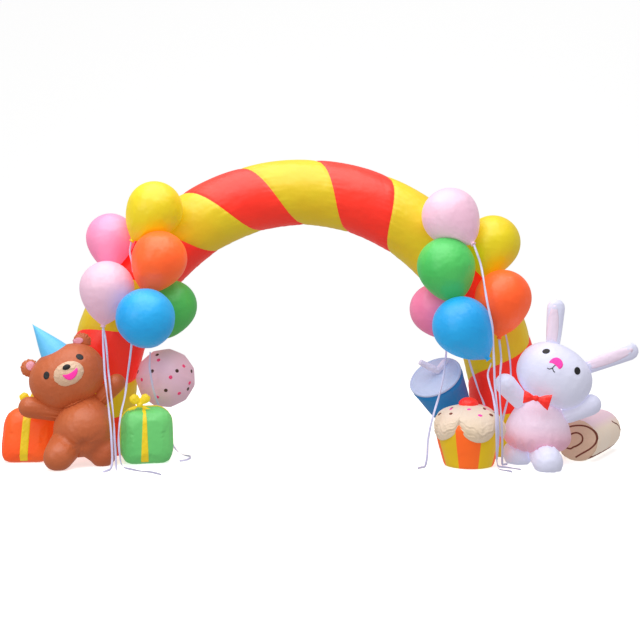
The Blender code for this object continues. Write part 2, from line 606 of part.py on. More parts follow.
def bear(tube):
    axes = head_frame(BEAR_HEAD, BEAR_TURN, BEAR_TILT)
    head = piece("bear_head", moved(head_mesh(), axes), "brown")
    trim(head, tube)
    torso_place = Matrix.Translation(BEAR_TORSO) @ Matrix.Rotation(TORSO_LEAN, 4, "Y") \
        @ Matrix.Diagonal((1, TORSO_DEPTH, 1, 1))
    torso = moved(lathe(BEAR_TORSO_PROFILE, 18), torso_place)
    body = joined("bear_body", "brown", [torso, limb_of("bear_leg_left"), limb_of("bear_leg_right")])
    trim(body, head, tube)
    for side, across in (("left", -1), ("right", 1)):
        place = axes @ Matrix.Translation((EAR_OFFSET.x * across, EAR_OFFSET.y, EAR_OFFSET.z))
        ear = piece(f"bear_ear_{side}", moved(ellipsoid(EAR_RADII, 12, 8), place), "brown")
        trim(ear, head)
        trim(piece(f"bear_arm_{side}", limb_of(f"bear_arm_{side}"), "brown"), body, head, tube)
    cone = lathe(((0.0, 0.0), (HAT_RADIUS, 0.0), (HAT_RADIUS * 0.5, HAT_HEIGHT * 0.5), (0.0, HAT_HEIGHT)), 16)
    hat_place = axes @ Matrix.Translation((0, 0, HAT_FOOT)) @ Matrix.Rotation(-HAT_LEAN, 4, "Y")
    hat = piece("bear_hat", moved(cone, hat_place), "hat_blue")
    trim(hat, head)
    muzzle_place = axes @ Matrix.Translation(MUZZLE_OFFSET)
    muzzle = piece("bear_muzzle", moved(ellipsoid(MUZZLE_RADII, 14, 8), muzzle_place), "cream")
    nose_place = axes @ Matrix.Translation(NOSE_OFFSET)
    nose = piece("bear_nose", moved(ellipsoid(NOSE_RADII, 10, 6), nose_place), "nose_black")
    trim(nose, muzzle, head)
    trim(muzzle, head)


def rabbit(tube):
    axes = head_frame(RABBIT_HEAD, RABBIT_TURN, RABBIT_TILT)
    head = piece("rabbit_head", moved(head_mesh(), axes), "white")
    trim(head, tube)
    lean = Matrix.Translation(RABBIT_DRESS) @ Matrix.Rotation(DRESS_LEAN, 4, "Y")
    dress = piece("rabbit_dress", moved(lathe(DRESS_PROFILE, 18), lean), "dress_pink")
    trim(dress, head, tube)
    thin = Matrix.Translation(RABBIT_HEAD) @ Matrix.Diagonal((1, RABBIT_EAR_FLATTEN, 1, 1)) \
        @ Matrix.Translation(-RABBIT_HEAD)
    front_leg = piece("rabbit_leg_right", limb_of("rabbit_leg_right"), "white")
    trim(front_leg, dress, tube)
    trim(piece("rabbit_leg_left", limb_of("rabbit_leg_left"), "white"), dress, front_leg, tube)
    for side, (root, tip) in (("left", RABBIT_EAR_LEFT), ("right", RABBIT_EAR_RIGHT)):
        mesh = moved(limb_mesh(axes @ root, axes @ tip, RABBIT_EAR_ROOT, RABBIT_EAR_TIP), thin)
        trim(piece(f"rabbit_ear_{side}", mesh, "white"), head)
        trim(piece(f"rabbit_arm_{side}", limb_of(f"rabbit_arm_{side}"), "white"), dress, head)
    tie = bow(BOWS[2])
    trim(tie, dress, head)
    return dress


def joined(name, colour, meshes):
    """One solid from several that run into each other."""
    first = piece(name, meshes[0], colour)
    for number, mesh in enumerate(meshes[1:]):
        other = piece(f"part_{name}_{number}", mesh, None, helper=True)
        other.location = first.location
        union = first.modifiers.new(f"join {number}", "BOOLEAN")
        union.operation = "UNION"
        union.solver = "EXACT"
        union.object = other
    return first


def leaf_mesh(sections):
    """One leaf of a bow along +X, through oval sections."""
    mesh = bmesh.new()
    rings = []
    for along, tall, deep in sections:
        rings.append([mesh.verts.new((along, math.cos(a) * deep, math.sin(a) * tall))
                      for a in (math.tau * k / LEAF_SIDES for k in range(LEAF_SIDES))])
    for ring, after in zip(rings, rings[1:]):
        for k in range(LEAF_SIDES):
            mesh.faces.new((ring[k], ring[(k + 1) % LEAF_SIDES], after[(k + 1) % LEAF_SIDES], after[k]))
    mesh.faces.new(rings[0])
    mesh.faces.new(rings[-1])
    return mesh


def bow(item):
    """A round knot and the leaves that leave it."""
    base = Matrix.Translation(item.centre) @ Matrix.Rotation(math.radians(item.turn), 4, "Z")
    parts = [moved(ellipsoid((item.knot, item.knot * 0.9, item.knot), 8, 6), base)]
    for leaf in item.leaves:
        turn = Matrix.Rotation(-math.radians(leaf.angle), 4, "Y")
        parts.append(moved(leaf_mesh(leaf.sections), base @ turn))
    return joined(item.name, item.colour, parts)


def box_point(cube, half, lean):
    """A point of the cube's surface carried to the puffed box."""
    norm = sum(abs(c) ** BOX_POWER for c in cube) ** (1 / BOX_POWER)
    x, y, z = (c / norm for c in cube)
    taper = 1 - BOX_TAPER * (z + 1) / 2
    return Vector((x * half[0] * taper + lean * (z + 1) * half[2], y * half[1] * taper, z * half[2]))


def gift_frame(gift):
    half_height = gift.size[2] / 2
    return Matrix.Translation(Vector(gift.centre) + Vector((0, 0, half_height - BOX_SINK))) \
        @ Matrix.Rotation(math.radians(gift.turn), 4, "Z")


def gift_box(gift):
    mesh = bmesh.new()
    bmesh.ops.create_cube(mesh, size=2.0)
    bmesh.ops.subdivide_edges(mesh, edges=mesh.edges, cuts=BOX_CUTS, use_grid_fill=True)
    half = [side / 2 for side in gift.size]
    for vertex in mesh.verts:
        vertex.co = box_point(vertex.co, half, gift.lean)
    moved(mesh, gift_frame(gift))
    rest_on_floor(mesh)
    return piece(gift.name, mesh, gift.colour)


def band_mesh(gift, across_x, outer):
    """A band from the floor over the top and down again, along the box's grid."""
    half = [side / 2 for side in gift.size]
    lateral = BAND_WIDTH / gift.size[0 if across_x else 1]
    steps = [-1 + 2 * i / (BOX_CUTS + 1) for i in range(BOX_CUTS + 2)]
    route = [(-1, z) for z in steps] + [(y, 1) for y in steps[1:]] + [(1, z) for z in reversed(steps[:-1])]
    mesh = bmesh.new()
    rings = []
    for run, up in route:
        ring = []
        for side, grow in ((-1, BAND_INNER), (1, BAND_INNER), (1, outer), (-1, outer)):
            cube = (side * lateral, run, up) if across_x else (run, side * lateral, up)
            ring.append(mesh.verts.new(box_point(cube, [h + grow for h in half], gift.lean)))
        rings.append(ring)
    for ring, after in zip(rings, rings[1:]):
        for k in range(4):
            mesh.faces.new((ring[k], ring[(k + 1) % 4], after[(k + 1) % 4], after[k]))
    mesh.faces.new(rings[0])
    mesh.faces.new(rings[-1])
    moved(mesh, gift_frame(gift))
    bmesh.ops.bisect_plane(mesh, geom=mesh.verts[:] + mesh.edges[:] + mesh.faces[:], dist=1e-6,
                           plane_co=(0, 0, 0.0005), plane_no=(0, 0, -1), clear_outer=True)
    bmesh.ops.holes_fill(mesh, edges=[edge for edge in mesh.edges if edge.is_boundary], sides=0)
    bmesh.ops.recalc_face_normals(mesh, faces=mesh.faces)
    return mesh


def gifts():
    for gift in GIFTS:
        box = gift_box(gift)
        bands = [band_mesh(gift, True, BAND_OUTER[0]), band_mesh(gift, False, BAND_OUTER[1])]
        joined(f"{gift.name}_band", "ribbon_yellow", bands)
        item = next(b for b in BOWS if b.name == f"{gift.name}_bow")
        trim(bow(item), box, gap=BAND_OUTER[1] + PIECE_GAP)


def cupcake():
    mesh = lathe(CASE_PROFILE, 2 * CASE_PANELS)
    case = piece("cupcake_case", moved(mesh, Matrix.Translation(CUPCAKE_CENTRE)), "case_orange")
    icing = piece("cupcake_icing", moved(icing_mesh(), Matrix.Translation(CUPCAKE_CENTRE)), "icing")
    trim(icing, case)
    cherry = ellipsoid(CHERRY_RADII, 14, 8)
    trim(piece("cupcake_cherry", moved(cherry, Matrix.Translation(CHERRY_CENTRE)), "bow_red"), icing)
    return case, icing


def icing_mesh():
    """A dome whose rim hangs in round lobes over the case."""
    columns = ICING_LOBES * 4
    mesh = bmesh.new()
    top = mesh.verts.new((0, 0, ICING_TOP))
    rings = []
    shares = (0.22, 0.45, 0.66, 0.84, 0.96, 1.0)
    for share in shares:
        ring = []
        for column in range(columns):
            angle = math.tau * column / columns + ICING_TURN - math.pi / 2
            lobe = abs(math.sin(ICING_LOBES / 2 * math.tau * column / columns)) ** 0.6
            rim = LOBE_CUSP + (LOBE_BOTTOM - LOBE_CUSP) * lobe
            radius = ICING_RADIUS * math.sin(share * math.radians(108)) * (0.955 + 0.045 * lobe)
            drop = (1 - math.cos(share * math.radians(108))) / (1 - math.cos(math.radians(108)))
            height = ICING_TOP + (rim - ICING_TOP) * drop
            ring.append(mesh.verts.new((radius * math.cos(angle), radius * math.sin(angle), height)))
        rings.append(ring)
    under = []
    for vertex in rings[-1]:
        inwards = Vector((vertex.co.x, vertex.co.y, 0)) * 0.80
        under.append(mesh.verts.new((inwards.x, inwards.y, vertex.co.z + 0.012)))
    rings.append(under)
    bottom = mesh.verts.new((0, 0, LOBE_CUSP - 0.02))
    for column in range(columns):
        after = (column + 1) % columns
        mesh.faces.new((top, rings[0][column], rings[0][after]))
        for ring, lower in zip(rings, rings[1:]):
            mesh.faces.new((ring[column], lower[column], lower[after], ring[after]))
        mesh.faces.new((bottom, under[after], under[column]))
    return mesh


def tube_along(points, radii, sides):
    """A round tube whose radius changes along its path, with closed ends."""
    mesh = bmesh.new()
    rings = []
    for i, place in enumerate(points):
        along = (points[min(i + 1, len(points) - 1)] - points[max(i - 1, 0)]).normalized()
        across = along.cross(Vector((0, 1, 0))).normalized()
        up = across.cross(along)
        rings.append([mesh.verts.new(place + (across * math.cos(a) + up * math.sin(a)) * radii[i])
                      for a in (math.tau * k / sides for k in range(sides))])
    for ring, after in zip(rings, rings[1:]):
        for k in range(sides):
            mesh.faces.new((ring[k], ring[(k + 1) % sides], after[(k + 1) % sides], after[k]))
    mesh.faces.new(rings[0])
    mesh.faces.new(rings[-1])
    return mesh


def cup(tube, case, icing):
    body_place = facing(CUP_LID_CENTRE, CUP_AXIS)
    body = piece("cup_body", moved(lathe(CUP_PROFILE, 18), body_place), "cup_blue")
    trim(body, tube, case, icing)
    lid_place = facing(CUP_LID_CENTRE + CUP_AXIS * PIECE_GAP, CUP_AXIS)
    lid = piece("cup_lid", moved(lathe(LID_PROFILE, 18), lid_place), "lid_white")
    points = [CUP_LID_CENTRE + Vector(p) for p in STRAW_POINTS]
    straw = piece("cup_straw", tube_along(points, STRAW_RADII, 8), "white")
    trim(straw, lid)


def ball_and_roll(dress):
    ball = moved(ellipsoid((BALL_RADIUS,) * 3, 20, 10),
                 Matrix.Translation(BALL_CENTRE) @ Matrix.Rotation(math.radians(24), 4, "Y"))
    press_on_tube(ball, BALL_CENTRE)
    piece("ball_spotted", ball, "ball_pink")
    along = ROLL_BACK - ROLL_FRONT
    length = along.length
    edge = 0.030
    profile = ((0.0, 0.0), (ROLL_RADIUS - edge, 0.0), (ROLL_RADIUS, edge), (ROLL_RADIUS + 0.004, length / 2),
               (ROLL_RADIUS, length - edge), (ROLL_RADIUS - edge, length), (0.0, length + 0.02))
    roll = moved(lathe(profile, 18), facing(ROLL_FRONT, along))
    rest_on_floor(roll)
    trim(piece("cake_roll", roll, "cake_tan"), dress)


clear_scene()
tube = arch_tube()
balloons()
ribbons()
bear(tube)
dress = rabbit(tube)
gifts()
case, icing = cupcake()
cup(tube, case, icing)
ball_and_roll(dress)
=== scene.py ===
"""The looks of an inflatable party arch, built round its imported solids.

Metres, +Z up, the front towards -Y. Places are written from the middle of the arch's own plane, on
the floor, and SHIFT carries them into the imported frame.
"""

import json
import logging
import math
from collections.abc import Callable, Sequence
from dataclasses import dataclass, field
from enum import Enum
from typing import NamedTuple

import bpy
import numpy as np
from mathutils import Matrix, Vector
from mathutils.bvhtree import BVHTree

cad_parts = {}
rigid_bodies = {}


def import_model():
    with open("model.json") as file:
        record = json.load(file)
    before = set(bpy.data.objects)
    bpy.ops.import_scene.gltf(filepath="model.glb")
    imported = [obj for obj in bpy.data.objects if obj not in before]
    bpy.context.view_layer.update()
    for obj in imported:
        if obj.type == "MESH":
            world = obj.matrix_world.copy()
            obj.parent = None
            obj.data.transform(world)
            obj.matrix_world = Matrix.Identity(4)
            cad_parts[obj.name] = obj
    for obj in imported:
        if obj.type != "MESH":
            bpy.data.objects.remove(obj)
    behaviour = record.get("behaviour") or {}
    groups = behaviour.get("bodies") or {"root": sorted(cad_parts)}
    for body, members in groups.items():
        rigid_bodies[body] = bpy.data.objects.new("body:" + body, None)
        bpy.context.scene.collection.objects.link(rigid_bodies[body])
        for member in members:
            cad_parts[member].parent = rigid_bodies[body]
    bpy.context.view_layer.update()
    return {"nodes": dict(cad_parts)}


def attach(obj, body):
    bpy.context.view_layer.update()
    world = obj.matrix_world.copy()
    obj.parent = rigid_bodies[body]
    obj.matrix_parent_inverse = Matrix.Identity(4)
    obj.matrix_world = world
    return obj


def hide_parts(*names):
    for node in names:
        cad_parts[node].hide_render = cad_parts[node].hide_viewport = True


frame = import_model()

Vec3 = tuple[float, float, float]
SHIFT = Vector((-0.1541, 0.3854, 0.0))
BODY = "root"
LOG = logging.getLogger("arch")


class Slot(Enum):
    """The record's material slots."""

    RED = "red"
    YELLOW = "yellow"
    PINK = "pink"
    BLUSH = "blush"
    ORANGE = "orange"
    BLUE = "blue"
    GREEN = "green"
    BROWN = "brown"
    WHITE = "white"
    CREAM = "cream"
    HAT = "hat_blue"
    DRESS = "dress_pink"
    TIE = "bow_red"
    BAND = "ribbon_yellow"
    GIFT_GREEN = "gift_green"
    GIFT_ORANGE = "gift_orange"
    BALL = "ball_pink"
    CASE = "case_orange"
    ICING = "icing"
    CUP = "cup_blue"
    LID = "lid_white"
    ROLL = "cake_tan"
    RIBBON = "ribbon_white"
    BLACK = "nose_black"


class NodeGroups:
    """The shader groups that the cloths share, each made once."""

    @staticmethod
    def _start(name: str, inputs: dict[str, float], output: str) -> tuple:
        """Makes an empty group.

        Args:
            name: the group's name.
            inputs: the number inputs and their first values.
            output: the name of its one output.

        Returns:
            The tree, its input node and its output node.
        """
        tree = bpy.data.node_groups.new(name, "ShaderNodeTree")
        tree.interface.new_socket("Vector", in_out="INPUT", socket_type="NodeSocketVector")
        for label, value in inputs.items():
            made = tree.interface.new_socket(label, in_out="INPUT", socket_type="NodeSocketFloat")
            made.default_value = value
        tree.interface.new_socket(output, in_out="OUTPUT", socket_type="NodeSocketFloat")
        return tree, tree.nodes.new("NodeGroupInput"), tree.nodes.new("NodeGroupOutput")

    @classmethod
    def weave(cls) -> bpy.types.NodeTree:
        """A plain weave's height: threads that cross in all three directions.

        Returns:
            The group, with Vector and Pitch inputs.
        """
        found = bpy.data.node_groups.get("plain_weave")
        if found:
            return found
        tree, start, end = cls._start("plain_weave", {"Pitch": 0.002}, "Height")
        turns = tree.nodes.new("ShaderNodeMath")
        turns.operation = "DIVIDE"
        turns.inputs[0].default_value = math.tau
        tree.links.new(start.outputs["Pitch"], turns.inputs[1])
        scaled = tree.nodes.new("ShaderNodeVectorMath")
        scaled.operation = "SCALE"
        tree.links.new(start.outputs["Vector"], scaled.inputs[0])
        tree.links.new(turns.outputs[0], scaled.inputs["Scale"])
        waves = tree.nodes.new("ShaderNodeVectorMath")
        waves.operation = "SINE"
        tree.links.new(scaled.outputs[0], waves.inputs[0])
        split = tree.nodes.new("ShaderNodeSeparateXYZ")
        tree.links.new(waves.outputs[0], split.inputs[0])
        total = None
        for one, other in (("X", "Y"), ("Y", "Z"), ("Z", "X")):
            crossed = tree.nodes.new("ShaderNodeMath")
            crossed.operation = "MULTIPLY_ADD"
            tree.links.new(split.outputs[one], crossed.inputs[0])
            tree.links.new(split.outputs[other], crossed.inputs[1])
            if total is None:
                crossed.inputs[2].default_value = 0.0
            else:
                tree.links.new(total, crossed.inputs[2])
            total = crossed.outputs[0]
        tree.links.new(total, end.inputs["Height"])
        return tree

    @classmethod
    def creases(cls) -> bpy.types.NodeTree:
        """The height of fine pull lines and soft dents in taut cloth.

        Returns:
            The group, with Vector and Size inputs.
        """
        found = bpy.data.node_groups.get("pull_creases")
        if found:
            return found
        tree, start, end = cls._start("pull_creases", {"Size": 0.08}, "Height")
        scale = tree.nodes.new("ShaderNodeMath")
        scale.operation = "DIVIDE"
        scale.inputs[0].default_value = 1.0
        tree.links.new(start.outputs["Size"], scale.inputs[1])
        lines = tree.nodes.new("ShaderNodeTexNoise")
        lines.noise_type = "RIDGED_MULTIFRACTAL"
        lines.inputs["Detail"].default_value = 3.0
        lines.inputs["Distortion"].default_value = 0.35
        dents = tree.nodes.new("ShaderNodeTexNoise")
        dents.inputs["Detail"].default_value = 2.0
        for noise in (lines, dents):
            tree.links.new(start.outputs["Vector"], noise.inputs["Vector"])
            tree.links.new(scale.outputs[0], noise.inputs["Scale"])
        both = tree.nodes.new("ShaderNodeMath")
        both.operation = "MULTIPLY_ADD"
        both.inputs[1].default_value = 0.35
        tree.links.new(lines.outputs[0], both.inputs[0])
        tree.links.new(dents.outputs[0], both.inputs[2])
        tree.links.new(both.outputs[0], end.inputs["Height"])
        return tree

    @classmethod
    def slow_change(cls) -> bpy.types.NodeTree:
        """A slow change of shade over the cloth, from 0 to 1.

        Returns:
            The group, with Vector and Size inputs.
        """
        found = bpy.data.node_groups.get("slow_change")
        if found:
            return found
        tree, start, end = cls._start("slow_change", {"Size": 0.5}, "Shade")
        scale = tree.nodes.new("ShaderNodeMath")
        scale.operation = "DIVIDE"
        scale.inputs[0].default_value = 1.0
        tree.links.new(start.outputs["Size"], scale.inputs[1])
        noise = tree.nodes.new("ShaderNodeTexNoise")
        noise.inputs["Detail"].default_value = 1.5
        tree.links.new(start.outputs["Vector"], noise.inputs["Vector"])
        tree.links.new(scale.outputs[0], noise.inputs["Scale"])
        spread = tree.nodes.new("ShaderNodeMapRange")
        spread.inputs["From Min"].default_value = 0.32
        spread.inputs["From Max"].default_value = 0.68
        tree.links.new(noise.outputs[0], spread.inputs["Value"])
        tree.links.new(spread.outputs[0], end.inputs["Shade"])
        return tree


class Fade(NamedTuple):
    """A second colour that comes in between two heights, all of it at the second."""

    start: float
    end: float
    colour: Vec3


@dataclass(frozen=True)
class Cloth:
    """A coated polyester cloth.

    Attributes:
        name: the material's name.
        slot: the record's slot that it belongs to.
        colour: its colour.
        tone: the colour that it slowly changes to and back.
        rough: how rough its surface is.
        crease: how strongly its pull lines show.
        crease_size: how large they are, in metres.
        fade: a second colour that comes in with height.
        painted_glow: painted light, how strongly it gives off light in its own colour to brighten its shaded side,
            standing in for light that comes through the cloth from inside the piece.
    """

    name: str
    slot: Slot
    colour: Vec3
    tone: Vec3
    rough: float = 0.42
    crease: float = 0.6
    crease_size: float = 0.10
    fade: Fade | None = None
    painted_glow: float = 0.33

    def material(self) -> bpy.types.Material:
        """Builds the material, or finds it.

        Returns:
            The material.
        """
        found = bpy.data.materials.get(f"cloth_{self.name}")
        if found:
            return found
        made = bpy.data.materials.new(f"cloth_{self.name}")
        made.use_nodes = True
        tree = made.node_tree
        shader = tree.nodes["Principled BSDF"]
        shader.inputs["Roughness"].default_value = self.rough
        shader.inputs["Sheen Weight"].default_value = 0.06
        shader.inputs["Sheen Roughness"].default_value = 0.4
        shader.inputs["Specular IOR Level"].default_value = 0.55
        # Painted light: every cloth gives off light of its own colour, which lifts its shaded side.
        shader.inputs["Emission Strength"].default_value = self.painted_glow
        place = tree.nodes.new("ShaderNodeTexCoord").outputs["Object"]
        change = self._group(tree, NodeGroups.slow_change(), place, "Size", 0.35)
        colour = tree.nodes.new("ShaderNodeMix")
        colour.data_type = "RGBA"
        tree.links.new(change.outputs["Shade"], colour.inputs["Factor"])
        colour.inputs["A"].default_value = (*self.colour, 1.0)
        colour.inputs["B"].default_value = (*self.tone, 1.0)
        last = colour.outputs["Result"]
        if self.fade:
            last = self._faded(tree, place, last)
        tree.links.new(last, shader.inputs["Base Color"])
        # Its painted light has the cloth's own colour.
        tree.links.new(last, shader.inputs["Emission Color"])
        creases = self._group(tree, NodeGroups.creases(), place, "Size", self.crease_size)
        folded = tree.nodes.new("ShaderNodeBump")
        folded.inputs["Strength"].default_value = self.crease
        folded.inputs["Distance"].default_value = 0.018
        tree.links.new(creases.outputs["Height"], folded.inputs["Height"])
        weave = self._group(tree, NodeGroups.weave(), place, "Pitch", 0.0016)
        threads = tree.nodes.new("ShaderNodeBump")
        threads.inputs["Strength"].default_value = 0.12
        threads.inputs["Distance"].default_value = 0.0004
        tree.links.new(weave.outputs["Height"], threads.inputs["Height"])
        tree.links.new(folded.outputs["Normal"], threads.inputs["Normal"])
        tree.links.new(threads.outputs["Normal"], shader.inputs["Normal"])
        return made

    @staticmethod
    def _group(tree: bpy.types.NodeTree, group: bpy.types.NodeTree, place: bpy.types.NodeSocket,
               label: str, value: float) -> bpy.types.Node:
        """Places a group in a material.

        Args:
            tree: the material's nodes.
            group: the group.
            place: the coordinates that it reads.
            label: the name of its number input.
            value: what that input is set to.

        Returns:
            The group's node.
        """
        made = tree.nodes.new("ShaderNodeGroup")
        made.node_tree = group
        tree.links.new(place, made.inputs["Vector"])
        made.inputs[label].default_value = value
        return made

    def _faded(self, tree: bpy.types.NodeTree, place: bpy.types.NodeSocket,
               under: bpy.types.NodeSocket) -> bpy.types.NodeSocket:
        """Brings the second colour in with height.

        Args:
            tree: the material's nodes.
            place: the coordinates.
            under: the colour so far.

        Returns:
            The socket with both colours.
        """
        split = tree.nodes.new("ShaderNodeSeparateXYZ")
        tree.links.new(place, split.inputs[0])
        share = tree.nodes.new("ShaderNodeMapRange")
        share.interpolation_type = "SMOOTHSTEP"
        share.inputs["From Min"].default_value = self.fade.start
        share.inputs["From Max"].default_value = self.fade.end
        tree.links.new(split.outputs["Z"], share.inputs["Value"])
        mixed = tree.nodes.new("ShaderNodeMix")
        mixed.data_type = "RGBA"
        tree.links.new(share.outputs[0], mixed.inputs["Factor"])
        tree.links.new(under, mixed.inputs["A"])
        mixed.inputs["B"].default_value = (*self.fade.colour, 1.0)
        return mixed.outputs["Result"]


RED = Cloth("taffeta_red", Slot.RED, (0.90, 0.030, 0.012), (0.84, 0.020, 0.008), crease_size=0.14)
YELLOW_STRIP = Cloth("taffeta_yellow", Slot.YELLOW, (0.65, 0.49, 0.008), (0.64, 0.42, 0.005), crease_size=0.14)
BALLOON_CLOTH = {
    "yellow": Cloth("balloon_yellow", Slot.YELLOW, (0.68, 0.55, 0.005), (0.68, 0.48, 0.003)),
    "pink": Cloth("balloon_pink", Slot.PINK, (0.86, 0.29, 0.48), (0.82, 0.22, 0.40)),
    # A darker copy of the pink: painted shade for the right pink balloon, which sits in shadow.
    "painted_shade_pink": Cloth("balloon_painted_shade_pink", Slot.PINK, (0.74, 0.20, 0.36), (0.68, 0.14, 0.29)),
    "blush": Cloth("balloon_blush", Slot.BLUSH, (0.74, 0.48, 0.60), (0.70, 0.42, 0.54)),
    "orange": Cloth("balloon_orange", Slot.ORANGE, (0.95, 0.135, 0.022), (0.93, 0.095, 0.014)),
    "blue": Cloth("balloon_blue", Slot.BLUE, (0.012, 0.37, 0.76), (0.006, 0.30, 0.68)),
    "green": Cloth("balloon_green", Slot.GREEN, (0.070, 0.42, 0.080), (0.045, 0.34, 0.060)),
    "light_green": Cloth("balloon_light_green", Slot.GREEN, (0.075, 0.50, 0.105), (0.045, 0.43, 0.085)),
}
RIBBON = Cloth("ribbon_satin", Slot.RIBBON, (0.58, 0.56, 0.74), (0.52, 0.49, 0.70), 0.38, 0.25, 0.05, painted_glow=0.25)
FUR_BROWN = Cloth("bear_brown", Slot.BROWN, (0.47, 0.112, 0.034), (0.41, 0.085, 0.024), 0.46, 0.36, 0.045)
CREAM = Cloth("muzzle_cream", Slot.CREAM, (0.62, 0.42, 0.29), (0.58, 0.38, 0.25), 0.5, 0.7, 0.03)
BLACK = Cloth("print_black", Slot.BLACK, (0.006, 0.005, 0.006), (0.010, 0.008, 0.010), 0.6, 0.3, 0.02)
PRINT_PINK = Cloth("print_pink", Slot.PINK, (1.0, 0.040, 0.40), (0.95, 0.032, 0.34), 0.5, 0.2, 0.02)
EAR_PINK = Cloth("ear_pink", Slot.PINK, (0.66, 0.28, 0.34), (0.60, 0.23, 0.30), 0.5, 0.5, 0.03)
HAT_BLUE = Cloth("hat_blue", Slot.HAT, (0.13, 0.50, 0.80), (0.10, 0.44, 0.75), 0.44, 0.25, 0.08)
RABBIT_WHITE = Cloth("rabbit_white", Slot.WHITE, (0.64, 0.64, 0.79), (0.60, 0.60, 0.77), 0.5, 0.3, 0.06)
EAR_BLUSH = Cloth("ear_blush", Slot.DRESS, (0.72, 0.60, 0.72), (0.70, 0.56, 0.68), 0.5, 0.3, 0.05)
DRESS = Cloth("dress_pink", Slot.DRESS, (0.70, 0.56, 0.68), (0.68, 0.52, 0.65), 0.5, 0.5, 0.06,
              Fade(0.36, 0.15, (0.68, 0.36, 0.46)))
TIE_RED = Cloth("tie_red", Slot.TIE, (0.92, 0.030, 0.018), (0.86, 0.020, 0.012), 0.45, 0.6, 0.04)
BAND_YELLOW = Cloth("band_yellow", Slot.BAND, (0.82, 0.60, 0.014), (0.79, 0.54, 0.010), 0.44, 0.4, 0.04)
GIFT_GREEN = Cloth("gift_green", Slot.GIFT_GREEN, (0.15, 0.56, 0.16), (0.11, 0.49, 0.13), 0.46, 0.4, 0.09)
GIFT_ORANGE = Cloth("gift_orange", Slot.GIFT_ORANGE, (0.97, 0.150, 0.018), (0.96, 0.085, 0.008), 0.46, 0.4, 0.09)
BALL_PINK = Cloth("ball_pink", Slot.BALL, (0.66, 0.42, 0.52), (0.62, 0.38, 0.46), 0.48, 0.3, 0.06)
DOT_BROWN = Cloth("dot_brown", Slot.BROWN, (0.055, 0.020, 0.016), (0.045, 0.016, 0.012), 0.45, 0.2, 0.02)
DOT_PINK = Cloth("dot_pink", Slot.PINK, (0.74, 0.045, 0.16), (0.68, 0.035, 0.13), 0.45, 0.2, 0.02)
CASE_ORANGE = Cloth("case_orange", Slot.CASE, (1.0, 0.150, 0.010), (0.98, 0.13, 0.008), 0.5, 0.3, 0.09)
CASE_YELLOW = Cloth("case_yellow", Slot.YELLOW, (0.74, 0.49, 0.003), (0.70, 0.44, 0.002), 0.5, 0.3, 0.09)
ICING = Cloth("icing_cream", Slot.ICING, (0.64, 0.52, 0.44), (0.68, 0.53, 0.36), 0.54, 0.22, 0.030)
CHERRY_RED = Cloth("cherry_red", Slot.TIE, (0.88, 0.024, 0.014), (0.82, 0.018, 0.010), 0.44, 0.5, 0.04)
CUP_BLUE = Cloth("cup_blue", Slot.CUP, (0.002, 0.17, 0.44), (0.001, 0.11, 0.33), 0.5, 0.35, 0.10)
LID_WHITE = Cloth("lid_white", Slot.LID, (0.38, 0.43, 0.60), (0.34, 0.39, 0.57), 0.46, 0.5, 0.05)
STRAW_WHITE = Cloth("straw_white", Slot.WHITE, (0.60, 0.55, 0.68), (0.56, 0.50, 0.65), 0.5, 0.9, 0.035)
ROLL_TAN = Cloth("roll_tan", Slot.ROLL, (0.80, 0.67, 0.56), (0.78, 0.61, 0.48), 0.5, 0.4, 0.09,
                 Fade(0.235, 0.315, (0.70, 0.50, 0.58)))
ROLL_END = Cloth("roll_end", Slot.ROLL, (0.60, 0.40, 0.29), (0.56, 0.37, 0.26), 0.52, 0.6, 0.05)
CRUST_BROWN = Cloth("crust_brown", Slot.BROWN, (0.16, 0.030, 0.012), (0.13, 0.024, 0.010), 0.5, 0.3, 0.03)


